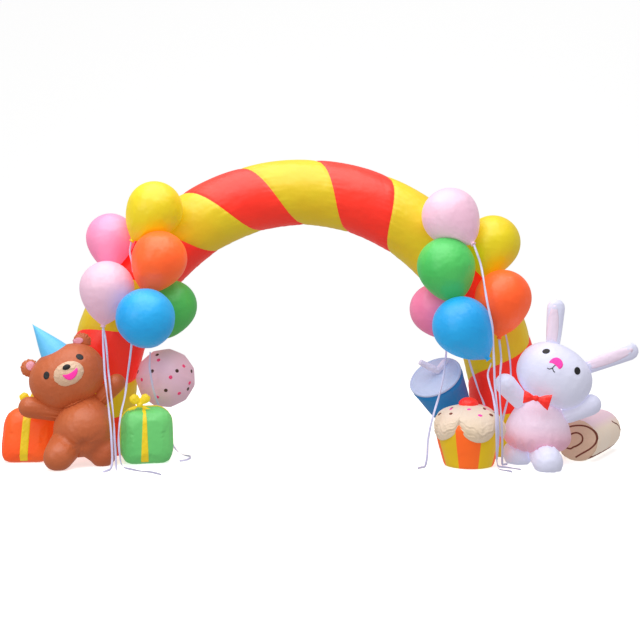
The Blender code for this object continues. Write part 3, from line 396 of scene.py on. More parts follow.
class Bench:
    """The modelling steps that the pieces share."""

    @staticmethod
    def pick(made: bpy.types.Object) -> None:
        """Makes one object the only selected one and the active one."""
        for other in bpy.context.view_layer.objects:
            other.select_set(False)
        made.select_set(True)
        bpy.context.view_layer.objects.active = made

    @staticmethod
    def mesh(name: str, points: Sequence, faces: Sequence, edges: Sequence = ()) -> bpy.types.Object:
        """An object from points and faces.

        Args:
            name: its name.
            points: its points.
            faces: its faces, as lists of point numbers.
            edges: loose edges.

        Returns:
            The object.
        """
        data = bpy.data.meshes.new(name)
        data.from_pydata([tuple(map(float, p)) for p in points], list(edges),
                         [tuple(map(int, f)) for f in faces])
        made = bpy.data.objects.new(name, data)
        bpy.context.scene.collection.objects.link(made)
        return made

    @staticmethod
    def points(made: bpy.types.Object) -> np.ndarray:
        """The object's points, one row each."""
        found = np.empty(len(made.data.vertices) * 3)
        made.data.vertices.foreach_get("co", found)
        return found.reshape(-1, 3)

    @staticmethod
    def normals(made: bpy.types.Object) -> np.ndarray:
        """The object's point normals, one row each."""
        found = np.empty(len(made.data.vertices) * 3)
        made.data.vertices.foreach_get("normal", found)
        return found.reshape(-1, 3)

    @staticmethod
    def place_points(made: bpy.types.Object, points: np.ndarray) -> None:
        """Moves the object's points to the given rows."""
        made.data.vertices.foreach_set("co", np.ascontiguousarray(points, float).reshape(-1))
        made.data.update()

    @classmethod
    def apply(cls, made: bpy.types.Object, kind: str, **settings: object) -> None:
        """Adds a modifier, sets it and applies it.

        Args:
            made: the object.
            kind: the modifier's type.
            settings: its settings.
        """
        cls.pick(made)
        added = made.modifiers.new(kind.lower(), kind)
        for label, value in settings.items():
            setattr(added, label, value)
        bpy.ops.object.modifier_apply(modifier=added.name)

    @classmethod
    def edit(cls, made: bpy.types.Object, *steps: Callable[[], object]) -> None:
        """Runs edit mode steps on the whole mesh.

        Args:
            made: the object.
            steps: the operators, in order.
        """
        cls.pick(made)
        bpy.ops.object.mode_set(mode="EDIT")
        bpy.ops.mesh.select_all(action="SELECT")
        for step in steps:
            step()
        bpy.ops.object.mode_set(mode="OBJECT")

    @classmethod
    def spun(cls, name: str, profile: Sequence[tuple[float, float]], steps: int, place: Matrix) -> bpy.types.Object:
        """A turned shape about +Z, carried to its place.

        Args:
            name: its name.
            profile: (radius, height) rows from one pole to the other.
            steps: how many sides it has.
            place: where its origin and axis go.

        Returns:
            The object.
        """
        line = [(r, 0.0, z) for r, z in profile]
        made = cls.mesh(name, line, (), [(i, i + 1) for i in range(len(line) - 1)])
        cls.edit(
            made,
            lambda: bpy.ops.mesh.spin(steps=steps, angle=math.tau, center=(0, 0, 0), axis=(0, 0, 1)),
            lambda: bpy.ops.mesh.select_all(action="SELECT"),
            lambda: bpy.ops.mesh.remove_doubles(threshold=1e-5),
            lambda: bpy.ops.mesh.normals_make_consistent(inside=False),
        )
        made.data.transform(place)
        return made

    @classmethod
    def soft_copy(cls, name: str, node: str, voxel: float, rounds: int = 12, grow: float = 0.0) -> bpy.types.Object:
        """A fine, smooth copy of a CAD node.

        Args:
            name: the copy's name.
            node: the node.
            voxel: the size of its cells, in metres.
            rounds: how often it's smoothed.
            grow: how far it's let out again afterwards, in metres.

        Returns:
            The copy.
        """
        source = frame["nodes"][node]
        made = bpy.data.objects.new(name, source.data.copy())
        made.matrix_world = source.matrix_world
        bpy.context.scene.collection.objects.link(made)
        made.data.transform(made.matrix_world)
        made.matrix_world = Matrix()
        made.data.materials.clear()
        cls.edit(made, lambda: bpy.ops.mesh.remove_doubles(threshold=1e-5),
                 lambda: bpy.ops.mesh.normals_make_consistent(inside=False))
        cls.apply(made, "REMESH", mode="VOXEL", voxel_size=voxel, adaptivity=0.0)
        cls.apply(made, "SMOOTH", factor=0.5, iterations=rounds)
        cls.gather(made, lambda points: np.full(len(points), -grow))
        return made

    @classmethod
    def swell(cls, made: bpy.types.Object, air: float, cap: float) -> None:
        """Blows a piece up a little with a cloth simulation.

        Args:
            made: the piece.
            air: the pressure inside.
            cap: how far a point may move, in metres.
        """
        start = cls.points(made)
        cls.pick(made)
        added = made.modifiers.new("air", "CLOTH")
        settings = added.settings
        settings.quality = 4
        settings.mass = 0.2
        settings.tension_stiffness = 12
        settings.compression_stiffness = 12
        settings.bending_stiffness = 0.4
        settings.use_pressure = True
        settings.uniform_pressure_force = air
        settings.effector_weights.gravity = 0.0
        added.point_cache.frame_start = 1
        added.point_cache.frame_end = 20
        for number in range(1, 21):
            bpy.context.scene.frame_set(number)
        bpy.ops.object.modifier_apply(modifier=added.name)
        bpy.context.scene.frame_set(1)
        move = cls.points(made) - start
        length = np.linalg.norm(move, axis=1, keepdims=True)
        move *= np.minimum(1.0, cap / np.maximum(length, 1e-9))
        cls.place_points(made, start + move)

    @staticmethod
    def tree(made: bpy.types.Object) -> BVHTree:
        """A tree for finding places on the object's surface."""
        return BVHTree.FromPolygons([v.co[:] for v in made.data.vertices],
                                    [p.vertices[:] for p in made.data.polygons])

    @classmethod
    def gather(cls, made: bpy.types.Object, shape: Callable[[np.ndarray], np.ndarray]) -> None:
        """Moves each point inwards along its normal by what shape returns for it.

        Args:
            made: the piece.
            shape: from rows of points to depths in metres.
        """
        points = cls.points(made)
        cls.place_points(made, points - cls.normals(made) * shape(points)[:, None])

    @staticmethod
    def smooth_path(points: Sequence[Vec3], step: float) -> np.ndarray:
        """Evenly spaced points on the smooth curve through the given ones.

        Args:
            points: the places that it passes through.
            step: the spacing, in metres.

        Returns:
            The points, one row each.
        """
        given = np.array(points, float)
        ends = np.vstack([given[0] * 2 - given[1], given, given[-1] * 2 - given[-2]])
        fine = [given[0]]
        for before, start, end, after in zip(ends, ends[1:], ends[2:], ends[3:]):
            for t in np.linspace(0, 1, 17)[1:]:
                fine.append(0.5 * (2 * start + (end - before) * t
                                   + (2 * before - 5 * start + 4 * end - after) * t**2
                                   + (3 * start - before - 3 * end + after) * t**3))
        fine = np.array(fine)
        run = np.concatenate([[0], np.cumsum(np.linalg.norm(np.diff(fine, axis=0), axis=1))])
        even = np.linspace(0, run[-1], max(2, round(run[-1] / step)) + 1)
        return np.stack([np.interp(even, run, fine[:, k]) for k in range(3)], axis=1)

    @classmethod
    def tube_faces(cls, rings: int, around: int) -> list[tuple[int, ...]]:
        """The faces of a closed tube of rings, with both ends filled.

        Args:
            rings: how many rings of points there are.
            around: how many points each has.

        Returns:
            The faces.
        """
        faces = [(i * around + k, i * around + (k + 1) % around, (i + 1) * around + (k + 1) % around,
                  (i + 1) * around + k) for i in range(rings - 1) for k in range(around)]
        last = (rings - 1) * around
        return [*faces, tuple(reversed(range(around))), tuple(range(last, last + around))]

    @classmethod
    def dress(cls, made: bpy.types.Object, cloths: Sequence[Cloth], nodes: Sequence[str] = (),
              fill: float | None = None) -> bpy.types.Object:
        """Gives a finished piece its cloth, its body and what it stands for.

        Args:
            made: the piece.
            cloths: its cloths, the main one first.
            nodes: the CAD nodes that it replaces.
            fill: how full it is, for a padded piece; not used.

        Returns:
            The piece.
        """
        if len(made.data.materials) != len(cloths):
            made.data.materials.clear()
            for cloth in cloths:
                made.data.materials.append(cloth.material())
        points = cls.points(made)
        points[:, 2] = np.maximum(points[:, 2], 0.0)
        cls.place_points(made, points)
        cls.pick(made)
        bpy.ops.object.shade_smooth()
        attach(made, BODY)
        if nodes:
            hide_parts(*nodes)
        LOG.info("%s: %d faces", made.name, len(made.data.polygons))
        return made


def ripple(turns: np.ndarray, seed: float) -> np.ndarray:
    """An uneven wave between 0 and 1, the same each time.

    Args:
        turns: how far along the wave each point is, in waves.
        seed: shifts the wave, so that no two seams are alike.

    Returns:
        The wave's height.
    """
    wave = (np.sin(math.tau * turns + seed) + 0.6 * np.sin(math.tau * turns * 0.618 + 2.1 * seed)
            + 0.4 * np.sin(math.tau * turns * 1.414 + 3.7 * seed))
    return 0.5 + 0.25 * wave


@dataclass(frozen=True)
class Oval:
    """An oval print.

    Attributes:
        across: its middle's x in the view.
        up: its middle's z.
        half_length: half its length.
        half_width: half its width.
        tilt: how far its length is turned up from x, in degrees.
    """

    across: float
    up: float
    half_length: float
    half_width: float
    tilt: float = 0.0

    def outline(self, count: int = 28) -> list[tuple[float, float]]:
        """The oval's edge.

        Args:
            count: how many points it has.

        Returns:
            (across, up) rows.
        """
        turn = math.radians(self.tilt)
        rows = []
        for k in range(count):
            x = self.half_length * math.cos(math.tau * k / count)
            z = self.half_width * math.sin(math.tau * k / count)
            rows.append((self.across + x * math.cos(turn) - z * math.sin(turn),
                         self.up + x * math.sin(turn) + z * math.cos(turn)))
        return rows


class Drop:
    """Lays prints on a surface, seen along one direction."""

    def __init__(self, axes: Matrix, *targets: bpy.types.Object) -> None:
        """Keeps the view and the surfaces.

        Args:
            axes: x across, z up and y away from whoever looks.
            targets: the pieces that a print may lie on.
        """
        self.axes = axes
        self.trees = [Bench.tree(t) for t in targets]
        self.distance = 2.0

    def onto(self, across: float, up: float, lift: float) -> Vector:
        """The place on the surface behind a point of the view.

        Args:
            across: the point's x in the view.
            up: its z.
            lift: how far in front of the surface the place is.

        Returns:
            The place.
        """
        start = self.axes @ Vector((across, -self.distance, up))
        away = (self.axes.to_3x3() @ Vector((0, 1, 0))).normalized()
        hits = [tree.ray_cast(start, away) for tree in self.trees]
        found = [hit for hit in hits if hit[0] is not None]
        if found:
            hit = min(found, key=lambda row: row[3])
            return hit[0] + hit[1].normalized() * lift
        middle = self.axes @ Vector((across, 0.0, up))
        near = min((tree.find_nearest(middle) for tree in self.trees), key=lambda row: row[3])
        return near[0] + near[1].normalized() * lift

    def spot(self, name: str, print_: Oval, rings: int = 2) -> bpy.types.Object:
        """A small print that is laid square on the surface.

        Args:
            name: its name.
            print_: its place in the view and its shape.
            rings: how many rings of faces it has.

        Returns:
            The closed, thin piece.
        """
        place = self.onto(print_.across, print_.up, 0.0)
        normal = min((tree.find_nearest(place) for tree in self.trees), key=lambda row: row[3])[1]
        square = Drop(Matrix.Translation(place) @ normal.to_track_quat("-Y", "Z").to_matrix().to_4x4())
        square.trees, square.distance = self.trees, 0.05
        flat = Oval(0.0, 0.0, print_.half_length, print_.half_width, print_.tilt)
        return square.patch(name, flat.outline(8), rings=rings)

    def patch(self, name: str, outline: Sequence[tuple[float, float]], lift: float = 0.0018,
              rings: int = 5) -> bpy.types.Object:
        """A flat shape laid on the surface.

        Args:
            name: its name.
            outline: its edge, as (across, up) rows.
            lift: how far it stands proud.
            rings: how many rings of faces it has.

        Returns:
            The closed, thin piece.
        """
        edge = self._rounded(np.array(outline))
        middle = edge.mean(axis=0)
        count = len(edge)
        flat = [middle] + [middle + (point - middle) * (ring + 1) / rings
                           for ring in range(rings) for point in edge]
        points = [self.onto(*p, lift) for p in flat]
        faces = [(0, 1 + k, 1 + (k + 1) % count) for k in range(count)]
        for ring in range(rings - 1):
            low, high = 1 + ring * count, 1 + (ring + 1) * count
            faces += [(low + k, high + k, high + (k + 1) % count, low + (k + 1) % count) for k in range(count)]
        return self._thicken(Bench.mesh(name, points, faces))

    @staticmethod
    def _rounded(edge: np.ndarray) -> np.ndarray:
        """A closed outline with three more points between every two, on a smooth curve.

        Args:
            edge: the outline's points.

        Returns:
            The finer outline.
        """
        before, after, beyond = np.roll(edge, 1, axis=0), np.roll(edge, -1, axis=0), np.roll(edge, -2, axis=0)
        rows = [0.5 * (2 * edge + (after - before) * t + (2 * before - 5 * edge + 4 * after - beyond) * t**2
                       + (3 * edge - before - 3 * after + beyond) * t**3) for t in (0, 0.25, 0.5, 0.75)]
        return np.stack(rows, axis=1).reshape(-1, 2)

    def line(self, name: str, path: Sequence[tuple[float, float]], width: float,
             lift: float = 0.0018) -> bpy.types.Object:
        """A narrow line laid on the surface.

        Args:
            name: its name.
            path: its middle, as (across, up) rows.
            width: how wide it is.
            lift: how far it stands proud.

        Returns:
            The closed, thin piece.
        """
        flat = [(across, 0.0, up) for across, up in path]
        middle = Bench.smooth_path(flat, min(0.012, width))[:, [0, 2]]
        along = np.gradient(middle, axis=0)
        along /= np.linalg.norm(along, axis=1, keepdims=True)
        side = np.stack([-along[:, 1], along[:, 0]], axis=1)
        points, faces = [], []
        for i, (place, out) in enumerate(zip(middle, side)):
            points += [self.onto(*(place + out * width * k), lift) for k in (-0.5, 0.0, 0.5)]
            if i:
                faces += [(3 * i - 3 + k, 3 * i + k, 3 * i + k + 1, 3 * i - 2 + k) for k in (0, 1)]
        return self._thicken(Bench.mesh(name, points, faces))

    def _thicken(self, made: bpy.types.Object) -> bpy.types.Object:
        """Turns a laid face to the front and gives it its thickness."""
        away = self.axes.to_3x3() @ Vector((0, 1, 0))
        facing = sum((p.normal * p.area for p in made.data.polygons), Vector())
        if facing.dot(away) > 0:
            made.data.flip_normals()
        Bench.apply(made, "SOLIDIFY", thickness=0.0028, offset=-1.0)
        return made


def joined(pieces: Sequence[bpy.types.Object], name: str) -> bpy.types.Object:
    """Joins small pieces of one kind into one object.

    Args:
        pieces: the pieces.
        name: the name of the whole.

    Returns:
        The object.
    """
    Bench.pick(pieces[0])
    for piece in pieces:
        piece.select_set(True)
    bpy.ops.object.join()
    pieces[0].name = name
    return pieces[0]


class Seam(NamedTuple):
    """Where a spiral seam crosses the tube's outer and inner edge, from the crown along the middle."""

    outer: float
    inner: float


@dataclass
class ArchTube:
    """The arch: one red and one yellow strip, wound side by side into a tube."""

    half_span: float = 1.70
    rise: float = 1.833
    leg_height: float = 0.335
    crown_radius: float = 0.272
    leg_radius: float = 0.297
    columns: int = 180
    rows_per_stripe: int = 28
    groove: float = 0.009
    pucker: float = 0.0042
    seams: tuple[Seam, ...] = (
        Seam(-4.35, -4.15), Seam(-3.98, -3.80), Seam(-3.62, -3.44), Seam(-3.26, -3.08), Seam(-2.91, -2.73),
        Seam(-2.56, -2.44), Seam(-2.21, -1.92), Seam(-1.80, -1.42), Seam(-1.36, -0.91), Seam(-0.92, -0.43),
        Seam(-0.46, 0.01), Seam(0.08, 0.46), Seam(0.60, 0.93), Seam(1.12, 1.42), Seam(1.65, 1.93),
        Seam(2.18, 2.46), Seam(2.64, 2.86), Seam(3.08, 3.28), Seam(3.50, 3.70), Seam(3.92, 4.12),
        Seam(4.34, 4.54), Seam(4.76, 4.96),
    )
    quarter: tuple[np.ndarray, np.ndarray] = field(init=False)

    def __post_init__(self) -> None:
        """Measures a quarter of the ellipse, from the crown."""
        angles = np.linspace(0, math.pi / 2, 721)
        middle = (angles[1:] + angles[:-1]) / 2
        steps = np.hypot(self.half_span * np.cos(middle), self.rise * np.sin(middle)) * angles[1]
        self.quarter = np.concatenate([[0], np.cumsum(steps)]), angles

    def middle_line(self, distance: np.ndarray) -> tuple[np.ndarray, np.ndarray, np.ndarray]:
        """The tube's middle at distances from the crown.

        Args:
            distance: how far along it is, positive to the right.

        Returns:
            The places, their outward normals and the tube's radius.
        """
        side = np.sign(distance) + (distance == 0)
        along = np.abs(distance)
        length = self.quarter[0][-1]
        angle = np.interp(along, *self.quarter)
        below = np.maximum(0, along - length)
        zero = np.zeros_like(along)
        place = np.stack([side * self.half_span * np.sin(angle), zero,
                          self.leg_height + self.rise * np.cos(angle) - below], axis=-1)
        normal = np.stack([side * self.rise * np.sin(angle), zero, self.half_span * np.cos(angle)], axis=-1)
        normal /= np.linalg.norm(normal, axis=-1, keepdims=True)
        share = np.minimum(1, along / length)
        return place, normal, self.crown_radius + (self.leg_radius - self.crown_radius) * share

    def spiral(self, number: np.ndarray, turn: np.ndarray) -> np.ndarray:
        """How far along the tube a line between seams is.

        Args:
            number: which seam line, with its share to the next.
            turn: half turns round the tube from its outer edge.

        Returns:
            The distances from the crown.
        """
        table = np.array(self.seams)
        half = np.floor(turn).astype(int)
        part = turn - half

        def crossing(step: int) -> np.ndarray:
            """The distance at a whole half turn, step after this one."""
            at = half + step
            whole = number + at - at % 2
            rows = np.arange(len(table))
            return np.where(at % 2 == 0, np.interp(whole, rows, table[:, 0]), np.interp(whole, rows, table[:, 1]))

        before, start, end, after = (crossing(step) for step in (-1, 0, 1, 2))
        square, cube = part**2, part**3
        return (start * (2 * cube - 3 * square + 1) + (end - before) / 2 * (cube - 2 * square + part)
                + end * (3 * square - 2 * cube) + (after - start) / 2 * (cube - square))

    def build(self) -> bpy.types.Object:
        """Models the tube.

        Returns:
            The dressed piece.
        """
        stripes = len(self.seams) - 5
        linear = np.arange(self.rows_per_stripe) / self.rows_per_stripe
        share = 0.45 * linear + 0.55 * (1 - np.cos(math.pi * linear)) / 2
        number = (np.arange(1, stripes + 1)[:, None] + share).reshape(-1, 1)
        turn = (2 * np.arange(self.columns) / self.columns)[None, :]
        number, turn = np.broadcast_arrays(number, turn)
        distance = self.spiral(number, turn)
        place, normal, radius = self.middle_line(distance)
        angle = math.pi * turn
        outward = normal * np.cos(angle)[..., None] + np.array((0, -1, 0)) * np.sin(angle)[..., None]
        nearest = np.round(number)
        apart = np.abs(number - nearest) * 0.37
        along = (turn + nearest) * math.pi * 0.285
        gathers = ripple(along / 0.043, 1.3) * np.exp(-apart / 0.045)
        pull = ripple(along / 0.11 + number * 0.8, 2.2) * np.exp(-apart / 0.16)
        squeezed = np.maximum(0, -np.cos(angle)) ** 2 * ripple(distance / 0.075 + 0.3 * np.sin(3 * angle), 0.7)
        depth = (self.groove * (0.65 * np.exp(-(apart / 0.010) ** 2) + 0.35 * np.exp(-(apart / 0.045) ** 2))
                 + self.pucker * gathers + 0.0028 * pull + 0.0030 * squeezed)
        points = place + outward * (radius - depth)[..., None]
        made = self._skin(points, stripes)
        return Bench.dress(made, (RED, YELLOW_STRIP), ("arch_tube",), fill=1.0)

    def _skin(self, points: np.ndarray, stripes: int) -> bpy.types.Object:
        """Joins the rows of points into a skin that is closed at the floor.

        Args:
            points: rows by columns by three.
            stripes: how many stripes there are; not used.

        Returns:
            The mesh.
        """
        rows, columns = points.shape[:2]
        wrap = 2 * self.rows_per_stripe
        number = np.arange(rows * columns).reshape(rows, columns)
        side = np.stack([number[:-1, :-1], number[:-1, 1:], number[1:, 1:], number[1:, :-1]], axis=-1)
        joins = np.stack([number[:-wrap - 1, -1], number[wrap:-1, 0], number[wrap + 1:, 0],
                          number[1:-wrap, -1]], axis=-1)
        faces = np.concatenate([side.reshape(-1, 4), joins])
        stripe = np.concatenate([np.repeat(np.arange(rows - 1), columns - 1),
                                 np.arange(len(joins))]) // self.rows_per_stripe + 1
        made = Bench.mesh("arch_skin", (points + np.array(SHIFT)).reshape(-1, 3), faces)
        for cloth in (RED, YELLOW_STRIP):
            made.data.materials.append(cloth.material())
        made.data.polygons.foreach_set("material_index", (stripe % 2 == 0).astype(np.int32))
        Bench.edit(
            made,
            lambda: bpy.ops.mesh.normals_make_consistent(inside=False),
            lambda: bpy.ops.mesh.bisect(plane_co=(0, 0, 0), plane_no=(0, 0, 1), use_fill=True, clear_inner=True),
        )
        return made


@dataclass
class Balloon:
    """One balloon.

    Attributes:
        node: the CAD node.
        colour: which balloon cloth it's made of.
        centre: its middle.
        radius: its radius.
        neck: the way its neck points.
    """

    node: str
    colour: str
    centre: Vec3
    radius: float
    neck: Vec3
    stretch: float = 0.31
    end_angle: float = 164.0
    gores: int = 8
    sides: int = 96
    rings: int = 60
    neck_rows: tuple[tuple[float, float], ...] = (
        (0.0, -1.452), (0.070, -1.460), (0.100, -1.455), (0.094, -1.432), (0.072, -1.405), (0.074, -1.385),
        (0.100, -1.362), (0.150, -1.330), (0.215, -1.290),
    )

    def build(self, others: Sequence["Balloon"], tube: ArchTube) -> bpy.types.Object:
        """Models the balloon and flattens it where it's pressed.

        Args:
            others: all the balloons.
            tube: the tube that it's sewn to.

        Returns:
            The dressed piece.
        """
        rows = [(self.radius * r, self.radius * z) for r, z in self.neck_rows]
        for ring in range(self.rings + 1):
            angle = math.radians(self.end_angle - 4) * (1 - ring / self.rings)
            longer = 1 + self.stretch * max(0.0, -math.cos(angle)) ** 2
            rows.append((self.radius * math.sin(angle), self.radius * math.cos(angle) * longer))
        centre = Vector(self.centre)
        turn = Vector((0, 0, 1)).rotation_difference(-Vector(self.neck))
        made = Bench.spun(f"{self.node}_skin", rows, self.sides, Matrix())
        self._sew(made)
        made.data.transform(Matrix.Translation(centre) @ turn.to_matrix().to_4x4())
        self._press(made, others, tube)
        made.data.transform(Matrix.Translation(SHIFT))
        return Bench.dress(made, (BALLOON_CLOTH[self.colour],), (self.node,), fill=1.0)

    def _sew(self, made: bpy.types.Object) -> None:
        """Draws in the seams between the gores and gathers the cloth at the neck."""
        points = Bench.points(made)
        around = np.arctan2(points[:, 1], points[:, 0])
        height = points[:, 2] / self.radius
        seam = np.abs(np.cos(self.gores / 2 * around)) ** 40
        bulge = np.abs(np.cos(self.gores / 2 * around)) ** 2
        towards_neck = np.exp(-np.maximum(0, height + 1.33) / 0.22)
        towards_top = np.exp(-np.maximum(0, 1.0 - height) / 0.05)
        pleats = ripple(around * 22 / math.tau, 1.1 + self.radius * 9)
        share = 1 - 0.006 * seam - 0.006 * bulge - 0.10 * pleats * towards_neck - 0.05 * pleats * towards_top
        share = np.where(height < -1.34, 1.0, share)
        points[:, :2] *= share[:, None]
        Bench.place_points(made, points)

    def _press(self, made: bpy.types.Object, others: Sequence["Balloon"], tube: ArchTube) -> None:
        """Flattens the balloon against its neighbours and the tube.

        Args:
            made: the balloon's mesh.
            others: all the balloons.
            tube: the tube.
        """
        points = Bench.points(made)
        centre = np.array(self.centre)
        for other in others:
            apart = np.array(other.centre) - centre
            gap = np.linalg.norm(apart)
            if other is self or gap > self.radius + other.radius:
                continue
            reach = (gap**2 + self.radius**2 - other.radius**2) / (2 * gap) - 0.001
            normal = apart / gap
            beyond = np.maximum(0, (points - centre) @ normal - reach)
            beyond *= np.linalg.norm(points - np.array(other.centre), axis=1) < other.radius * 1.04
            points -= normal * beyond[:, None]
        span = tube.quarter[0][-1] + tube.leg_height
        line, _, radius = tube.middle_line(np.linspace(-span, span, 401))
        nearest = np.argmin(np.linalg.norm(line - centre, axis=1))
        away = centre - line[nearest]
        away /= np.linalg.norm(away)
        inside = np.maximum(0, radius[nearest] + 0.006 - (points - line[nearest]) @ away)
        Bench.place_points(made, points + away * inside[:, None])


BALLOONS = (
    Balloon("balloon_left_yellow", "yellow", (-1.170, -0.36, 2.004), 0.220, (-0.57, -0.10, -0.81)),
    Balloon("balloon_left_pink", "pink", (-1.546, -0.25, 1.779), 0.198, (0.0, 0.0, -1.0)),
    Balloon("balloon_left_blush", "blush", (-1.536, -0.46, 1.375), 0.213, (-0.10, -0.05, -0.99)),
    Balloon("balloon_left_orange", "orange", (-1.113, -0.50, 1.606), 0.216, (-0.42, 0.10, -0.90)),
    Balloon("balloon_left_blue", "blue", (-1.202, -0.64, 1.145), 0.228, (0.0, 0.80, -0.60)),
    Balloon("balloon_left_green", "green", (-1.062, -0.26, 1.228), 0.211, (-0.35, 0.10, -0.93)),
    Balloon("balloon_right_blush", "blush", (1.175, -0.42, 1.944), 0.224, (0.50, -0.50, -0.71)),
    Balloon("balloon_right_yellow", "yellow", (1.534, -0.30, 1.736), 0.222, (-0.30, 0.0, -0.95)),
    Balloon("balloon_right_green", "light_green", (1.135, -0.50, 1.545), 0.228, (0.30, 0.32, -0.90)),
    # Painted shade: this balloon wears the darker copy of the pink.
    Balloon("balloon_right_pink", "painted_shade_pink", (1.078, -0.25, 1.203), 0.205, (0.55, 0.0, -0.83)),
    Balloon("balloon_right_blue", "blue", (1.246, -0.61, 1.081), 0.230, (0.62, -0.05, -0.78)),
    Balloon("balloon_right_orange", "orange", (1.588, -0.48, 1.296), 0.222, (-0.09, 0.0, -1.0)),
)

FLOOR_Z = 0.0018
RIBBON_ROUTES: dict[str, tuple[Vec3, ...]] = {
    "ribbon_left_blush": (
        (-1.567, -0.477, 1.062), (-1.546, -0.55, 0.864), (-1.511, -0.645, 0.618), (-1.469, -0.73, 0.414),
        (-1.438, -0.795, 0.222), (-1.427, -0.825, 0.07), (-1.435, -0.87, FLOOR_Z), (-1.470, -0.95, FLOOR_Z),
    ),
    "ribbon_left_pink": (
        (-1.570, -0.258, 1.470), (-1.665, -0.26, 1.39), (-1.690, -0.30, 1.25), (-1.607, -0.39, 1.11),
        (-1.565, -0.44, 1.02), (-1.531, -0.50, 0.861), (-1.493, -0.60, 0.657), (-1.447, -0.70, 0.418),
        (-1.422, -0.765, 0.235), (-1.405, -0.80, 0.08), (-1.395, -0.84, FLOOR_Z), (-1.372, -0.92, FLOOR_Z),
    ),
    "ribbon_left_orange": (
        (-1.260, -0.465, 1.298), (-1.318, -0.415, 1.20), (-1.340, -0.420, 1.08), (-1.345, -0.47, 0.91),
        (-1.367, -0.60, 0.574), (-1.388, -0.68, 0.415), (-1.398, -0.735, 0.259), (-1.383, -0.765, 0.12),
        (-1.365, -0.785, 0.03), (-1.325, -0.815, FLOOR_Z), (-1.225, -0.90, FLOOR_Z), (-1.115, -0.965, FLOOR_Z),
        (-1.017, -1.06, FLOOR_Z),
    ),
    "ribbon_left_blue": (
        (-1.202, -0.448, 0.868), (-1.210, -0.43, 0.76), (-1.201, -0.42, 0.68), (-1.183, -0.38, 0.54),
        (-1.172, -0.235, 0.42), (-1.150, -0.195, 0.27), (-1.095, -0.195, 0.15), (-1.035, -0.20, 0.045),
        (-0.965, -0.235, FLOOR_Z), (-0.898, -0.326, FLOOR_Z), (-0.915, -0.44, FLOOR_Z), (-0.965, -0.50, FLOOR_Z),
    ),
    "ribbon_left_yellow": (
        (-1.354, -0.393, 1.738), (-1.362, -0.405, 1.66), (-1.348, -0.40, 1.58), (-1.340, -0.395, 1.50),
    ),
    "ribbon_right_blush": (
        (1.338, -0.588, 1.716), (1.362, -0.61, 1.640), (1.390, -0.62, 1.55), (1.405, -0.70, 1.38), (1.432, -0.755, 1.20),
        (1.462, -0.765, 1.05), (1.466, -0.78, 0.84), (1.473, -0.80, 0.61), (1.487, -0.875, 0.335),
        (1.495, -0.82, 0.15), (1.503, -0.76, 0.02), (1.540, -0.765, FLOOR_Z), (1.605, -0.80, FLOOR_Z),
        (1.660, -0.86, FLOOR_Z),
    ),
    "ribbon_right_orange": (
        (1.560, -0.48, 0.970), (1.562, -0.55, 0.826), (1.535, -0.68, 0.72), (1.512, -0.775, 0.62),
        (1.512, -0.85, 0.40), (1.525, -0.82, 0.20), (1.545, -0.72, 0.05), (1.560, -0.67, FLOOR_Z),
        (1.600, -0.645, FLOOR_Z),
    ),
    "ribbon_right_yellow": (
        (1.600, -0.304, 1.120), (1.630, -0.36, 1.02), (1.648, -0.44, 0.86), (1.660, -0.455, 0.70),
        (1.652, -0.455, 0.56), (1.626, -0.44, 0.44), (1.600, -0.43, 0.32), (1.575, -0.41, 0.15),
        (1.555, -0.40, 0.02), (1.530, -0.43, FLOOR_Z), (1.505, -0.48, FLOOR_Z),
    ),
    "ribbon_right_blue": (
        (1.470, -0.650, 0.794), (1.436, -0.70, 0.715), (1.440, -0.765, 0.639), (1.455, -0.83, 0.552),
        (1.461, -0.905, 0.389), (1.475, -0.875, 0.20), (1.487, -0.82, 0.05), (1.500, -0.855, FLOOR_Z),
        (1.545, -0.905, FLOOR_Z), (1.575, -0.955, FLOOR_Z),
    ),
    "ribbon_right_green": (
        (1.250, -0.383, 1.220), (1.266, -0.368, 1.12), (1.285, -0.385, 0.95), (1.326, -0.42, 0.82),
        (1.360, -0.43, 0.704), (1.415, -0.40, 0.555), (1.470, -0.345, 0.42), (1.495, -0.335, 0.20),
        (1.497, -0.34, 0.03), (1.520, -0.36, FLOOR_Z), (1.575, -0.38, FLOOR_Z),
    ),
    "ribbon_right_pink": (
        (1.172, -0.25, 0.902), (1.150, -0.40, 0.83), (1.118, -0.56, 0.72), (1.072, -0.68, 0.57),
        (1.008, -0.76, 0.403), (0.970, -0.775, 0.227), (0.962, -0.775, 0.09), (0.945, -0.765, FLOOR_Z),
        (0.915, -0.785, FLOOR_Z), (0.885, -0.82, FLOOR_Z),
    ),
}


